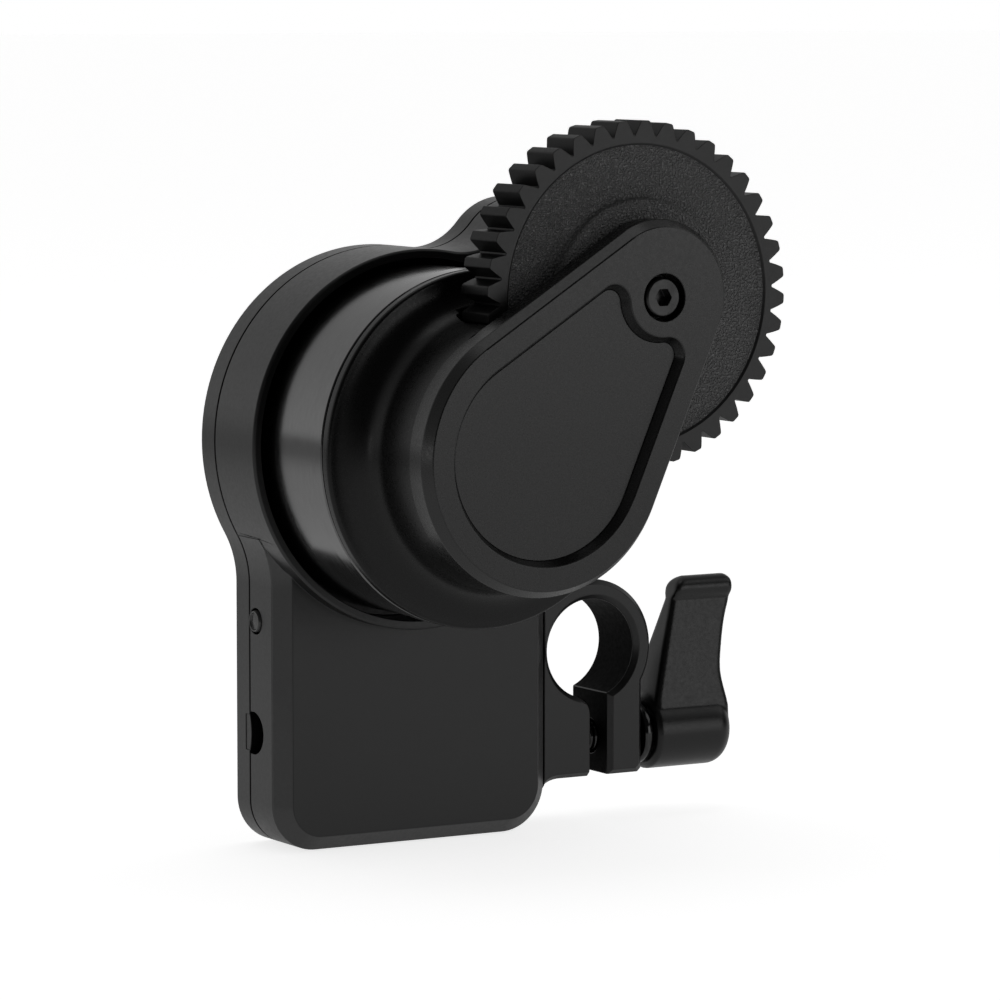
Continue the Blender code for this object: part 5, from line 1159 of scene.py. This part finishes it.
def spring():
    """The lever's coil spring of round wire. On the real lever it flattens against the screw's head as the lever
    is pulled; here it is built in one still shape.
    """
    start = LEVER_LEFT + SPLINE_LENGTH + LEVER_END_WALL + 2 * FIT_GAP + SPRING_WIRE
    end = LEVER_RIGHT - LEVER_SCREW_SUNK - LEVER_SCREW_HEAD - FIT_GAP - SPRING_WIRE
    radius = (LEVER_BORE_RADIUS + LEVER_SCREW_RADIUS) / 2
    count = SPRING_TURNS * SPRING_TURN_STEPS
    loops = []
    for i in range(count + 1):
        turn = math.tau * i / SPRING_TURN_STEPS
        out = Vector((0, math.cos(turn), math.sin(turn)))
        spot = Vector((start + (end - start) * i / count, 0, STUD_Z)) + radius * out
        wire = [math.tau * j / SPRING_WIRE_STEPS for j in range(SPRING_WIRE_STEPS)]
        loops.append([spot + SPRING_WIRE * (math.cos(a) * out + math.sin(a) * Vector((1, 0, 0))) for a in wire])
    piece = solid("fine_lever_spring", tube_mesh("fine_lever_spring", loops))
    stand_in(soften(piece, 0), "lever_spring", "steel", STEEL)
    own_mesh(piece)


def axle_screw():
    """The long screw of the wheel's axle, with its hexagon socket."""
    top = ARM_FACE + ARM_SCREW_SINK
    under = top + ARM_SCREW_HEAD_DEPTH
    tip = COVER_INSIDE + BACK_PLATE_SEAT - FIT_GAP
    profile = [(0, top), (ARM_SCREW_HEAD_RADIUS - HEAD_EDGE, top), (ARM_SCREW_HEAD_RADIUS, top + HEAD_EDGE),
               (ARM_SCREW_HEAD_RADIUS, under), (AXLE_SCREW_RADIUS, under), (AXLE_SCREW_RADIUS, tip), (0, tip)]
    screw = solid("fine_gear_axle_screw", turned_mesh("fine_gear_axle_screw", profile, HOLE_ROUND, GEAR))
    turns = [math.tau * side / HEX_SIDES for side in range(HEX_SIDES)]
    hexagon = [(GEAR.x + HEX_RADIUS * math.cos(turn), GEAR.y + HEX_RADIUS * math.sin(turn)) for turn in turns]
    carve(screw, loft_mesh("hex", [(top - OVERRUN, hexagon), (top + HEX_DEPTH, hexagon)]))
    merge_doubles(screw.data)
    stand_in(soften(screw, SCREW_EDGE), "gear_axle_screw", "blackened_steel", DARK_STEEL)


def side_fittings():
    """The socket and the status light in the left side."""
    profile = [(SOCKET_HOLE_RADIUS, 0), (SOCKET_BARREL, 0), (SOCKET_BARREL, SOCKET_LENGTH), (0, SOCKET_LENGTH),
               (0, SOCKET_HOLE_DEPTH), (SOCKET_HOLE_RADIUS, SOCKET_HOLE_DEPTH)]
    turned_piece("power_socket", profile, BORE_ROUND, (SOCKET_LEFT, SOCKET_Y, SOCKET_Z), "black_plastic", LIP,
                 SOCKET_EDGE)
    ring = LIGHT_RADIUS - LIGHT_RISE
    face = LIGHT_RISE * LIGHT_FACE
    profile = [(0, LIGHT_RISE * LIGHT_DISH), (ring * LIGHT_DISH, face), (ring - LIGHT_RISE / 2, face), (ring, 0),
               (LIGHT_RADIUS - LIGHT_RISE / 2, 0), (LIGHT_RADIUS, LIGHT_RISE), (LIGHT_RADIUS, LIGHT_LENGTH),
               (0, LIGHT_LENGTH)]
    turned_piece("status_light", profile, HOLE_ROUND, (BOX_LEFT - LIGHT_RISE, LIGHT_Y, LIGHT_Z), "light_guide",
                 LIGHT, LIGHT_EDGE)


for build in (housing, rear_cover, gear_arm, bell, wheel, bracket, lever, clamp_hardware, axle_screw, spring,
              side_fittings):
    build()


def floor():
    """The pale floor, which keeps the object's soft shadow."""
    bpy.ops.mesh.primitive_plane_add(size=FLOOR_SIZE, location=(0, 0, FLOOR_Z))
    plane = bpy.context.object
    plane.name = "floor"
    made, tree, shader = node_material("floor_white")
    shader.inputs["Base Color"].default_value = (*grey(FLOOR_GREY), 1)
    shader.inputs["Roughness"].default_value = FLOOR_ROUGHNESS
    shader.inputs["Emission Color"].default_value = (1, 1, 1, 1)
    near = add_node(tree, "ShaderNodeMapping", Scale=grey(1 / TABLE_REACH))
    tree.links.new(tree.nodes.new("ShaderNodeTexCoord").outputs["Object"], near.inputs["Vector"])
    ball = tree.nodes.new("ShaderNodeTexGradient")
    ball.gradient_type = "SPHERICAL"
    tree.links.new(near.outputs["Vector"], ball.inputs["Vector"])
    table = add_node(tree, "ShaderNodeMapRange", From_Max=0.5, To_Min=TABLE_FAR_GLOW, To_Max=TABLE_GLOW)
    tree.links.new(ball.outputs["Fac"], table.inputs["Value"])
    rays = tree.nodes.new("ShaderNodeLightPath")
    seen = add_node(tree, "ShaderNodeMapRange", To_Max=FLOOR_SEEN)
    tree.links.new(rays.outputs["Is Camera Ray"], seen.inputs["Value"])
    tree.links.new(table.outputs["Result"], seen.inputs["To Min"])
    tree.links.new(seen.outputs["Result"], shader.inputs["Emission Strength"])
    plane.data.materials.append(made)


def world():
    """A white backdrop behind the object and a dark room in front of it; the camera sees plain white."""
    made = bpy.data.worlds.new("studio")
    bpy.context.scene.world = made
    made.use_nodes = True
    tree = made.node_tree
    background = tree.nodes["Background"]
    way = tree.nodes.new("ShaderNodeSeparateXYZ")
    tree.links.new(tree.nodes.new("ShaderNodeTexCoord").outputs["Generated"], way.inputs["Vector"])
    fade = add_node(tree, "ShaderNodeMapRange", From_Min=BACKDROP_FADE[0], From_Max=BACKDROP_FADE[1],
                    To_Min=BACKDROP_LOW, To_Max=BACKDROP_HIGH)
    tree.links.new(way.outputs["Z"], fade.inputs["Value"])
    room = add_node(tree, "ShaderNodeMapRange", From_Min=ROOM_FADE[0], From_Max=ROOM_FADE[1], To_Min=ROOM)
    tree.links.new(way.outputs["Y"], room.inputs["Value"])
    tree.links.new(fade.outputs["Result"], room.inputs["To Max"])
    rays = tree.nodes.new("ShaderNodeLightPath")
    level = add_node(tree, "ShaderNodeMapRange", To_Max=1.0)
    tree.links.new(rays.outputs["Is Camera Ray"], level.inputs["Value"])
    tree.links.new(room.outputs["Result"], level.inputs["To Min"])
    tree.links.new(level.outputs["Result"], background.inputs["Strength"])
    background.inputs["Color"].default_value = (1, 1, 1, 1)


def lamp(name, place, size, power):
    """A soft rectangular lamp aimed at the object."""
    light = bpy.data.lights.new(name, "AREA")
    light.shape = "RECTANGLE"
    light.size, light.size_y = size
    light.energy = power
    made = bpy.data.objects.new(name, light)
    bpy.context.scene.collection.objects.link(made)
    made.location = place
    made.rotation_euler = (Vector(AIM) - Vector(place)).to_track_quat("-Z", "Y").to_euler()


def camera():
    """The photograph's viewpoint."""
    lens = bpy.data.cameras.new("camera")
    lens.lens = LENS_MM
    lens.sensor_width = SENSOR_MM
    lens.clip_start = CLIP_START
    made = bpy.data.objects.new("camera", lens)
    bpy.context.scene.collection.objects.link(made)
    made.location = CAMERA_AT
    made.rotation_euler = (QUARTER - math.radians(CAMERA_TILT), 0, math.radians(-CAMERA_TURN))
    bpy.context.scene.camera = made


floor()
world()
for setting in LAMPS:
    lamp(*setting)
camera()

bpy.context.scene.view_settings.view_transform = "Standard"
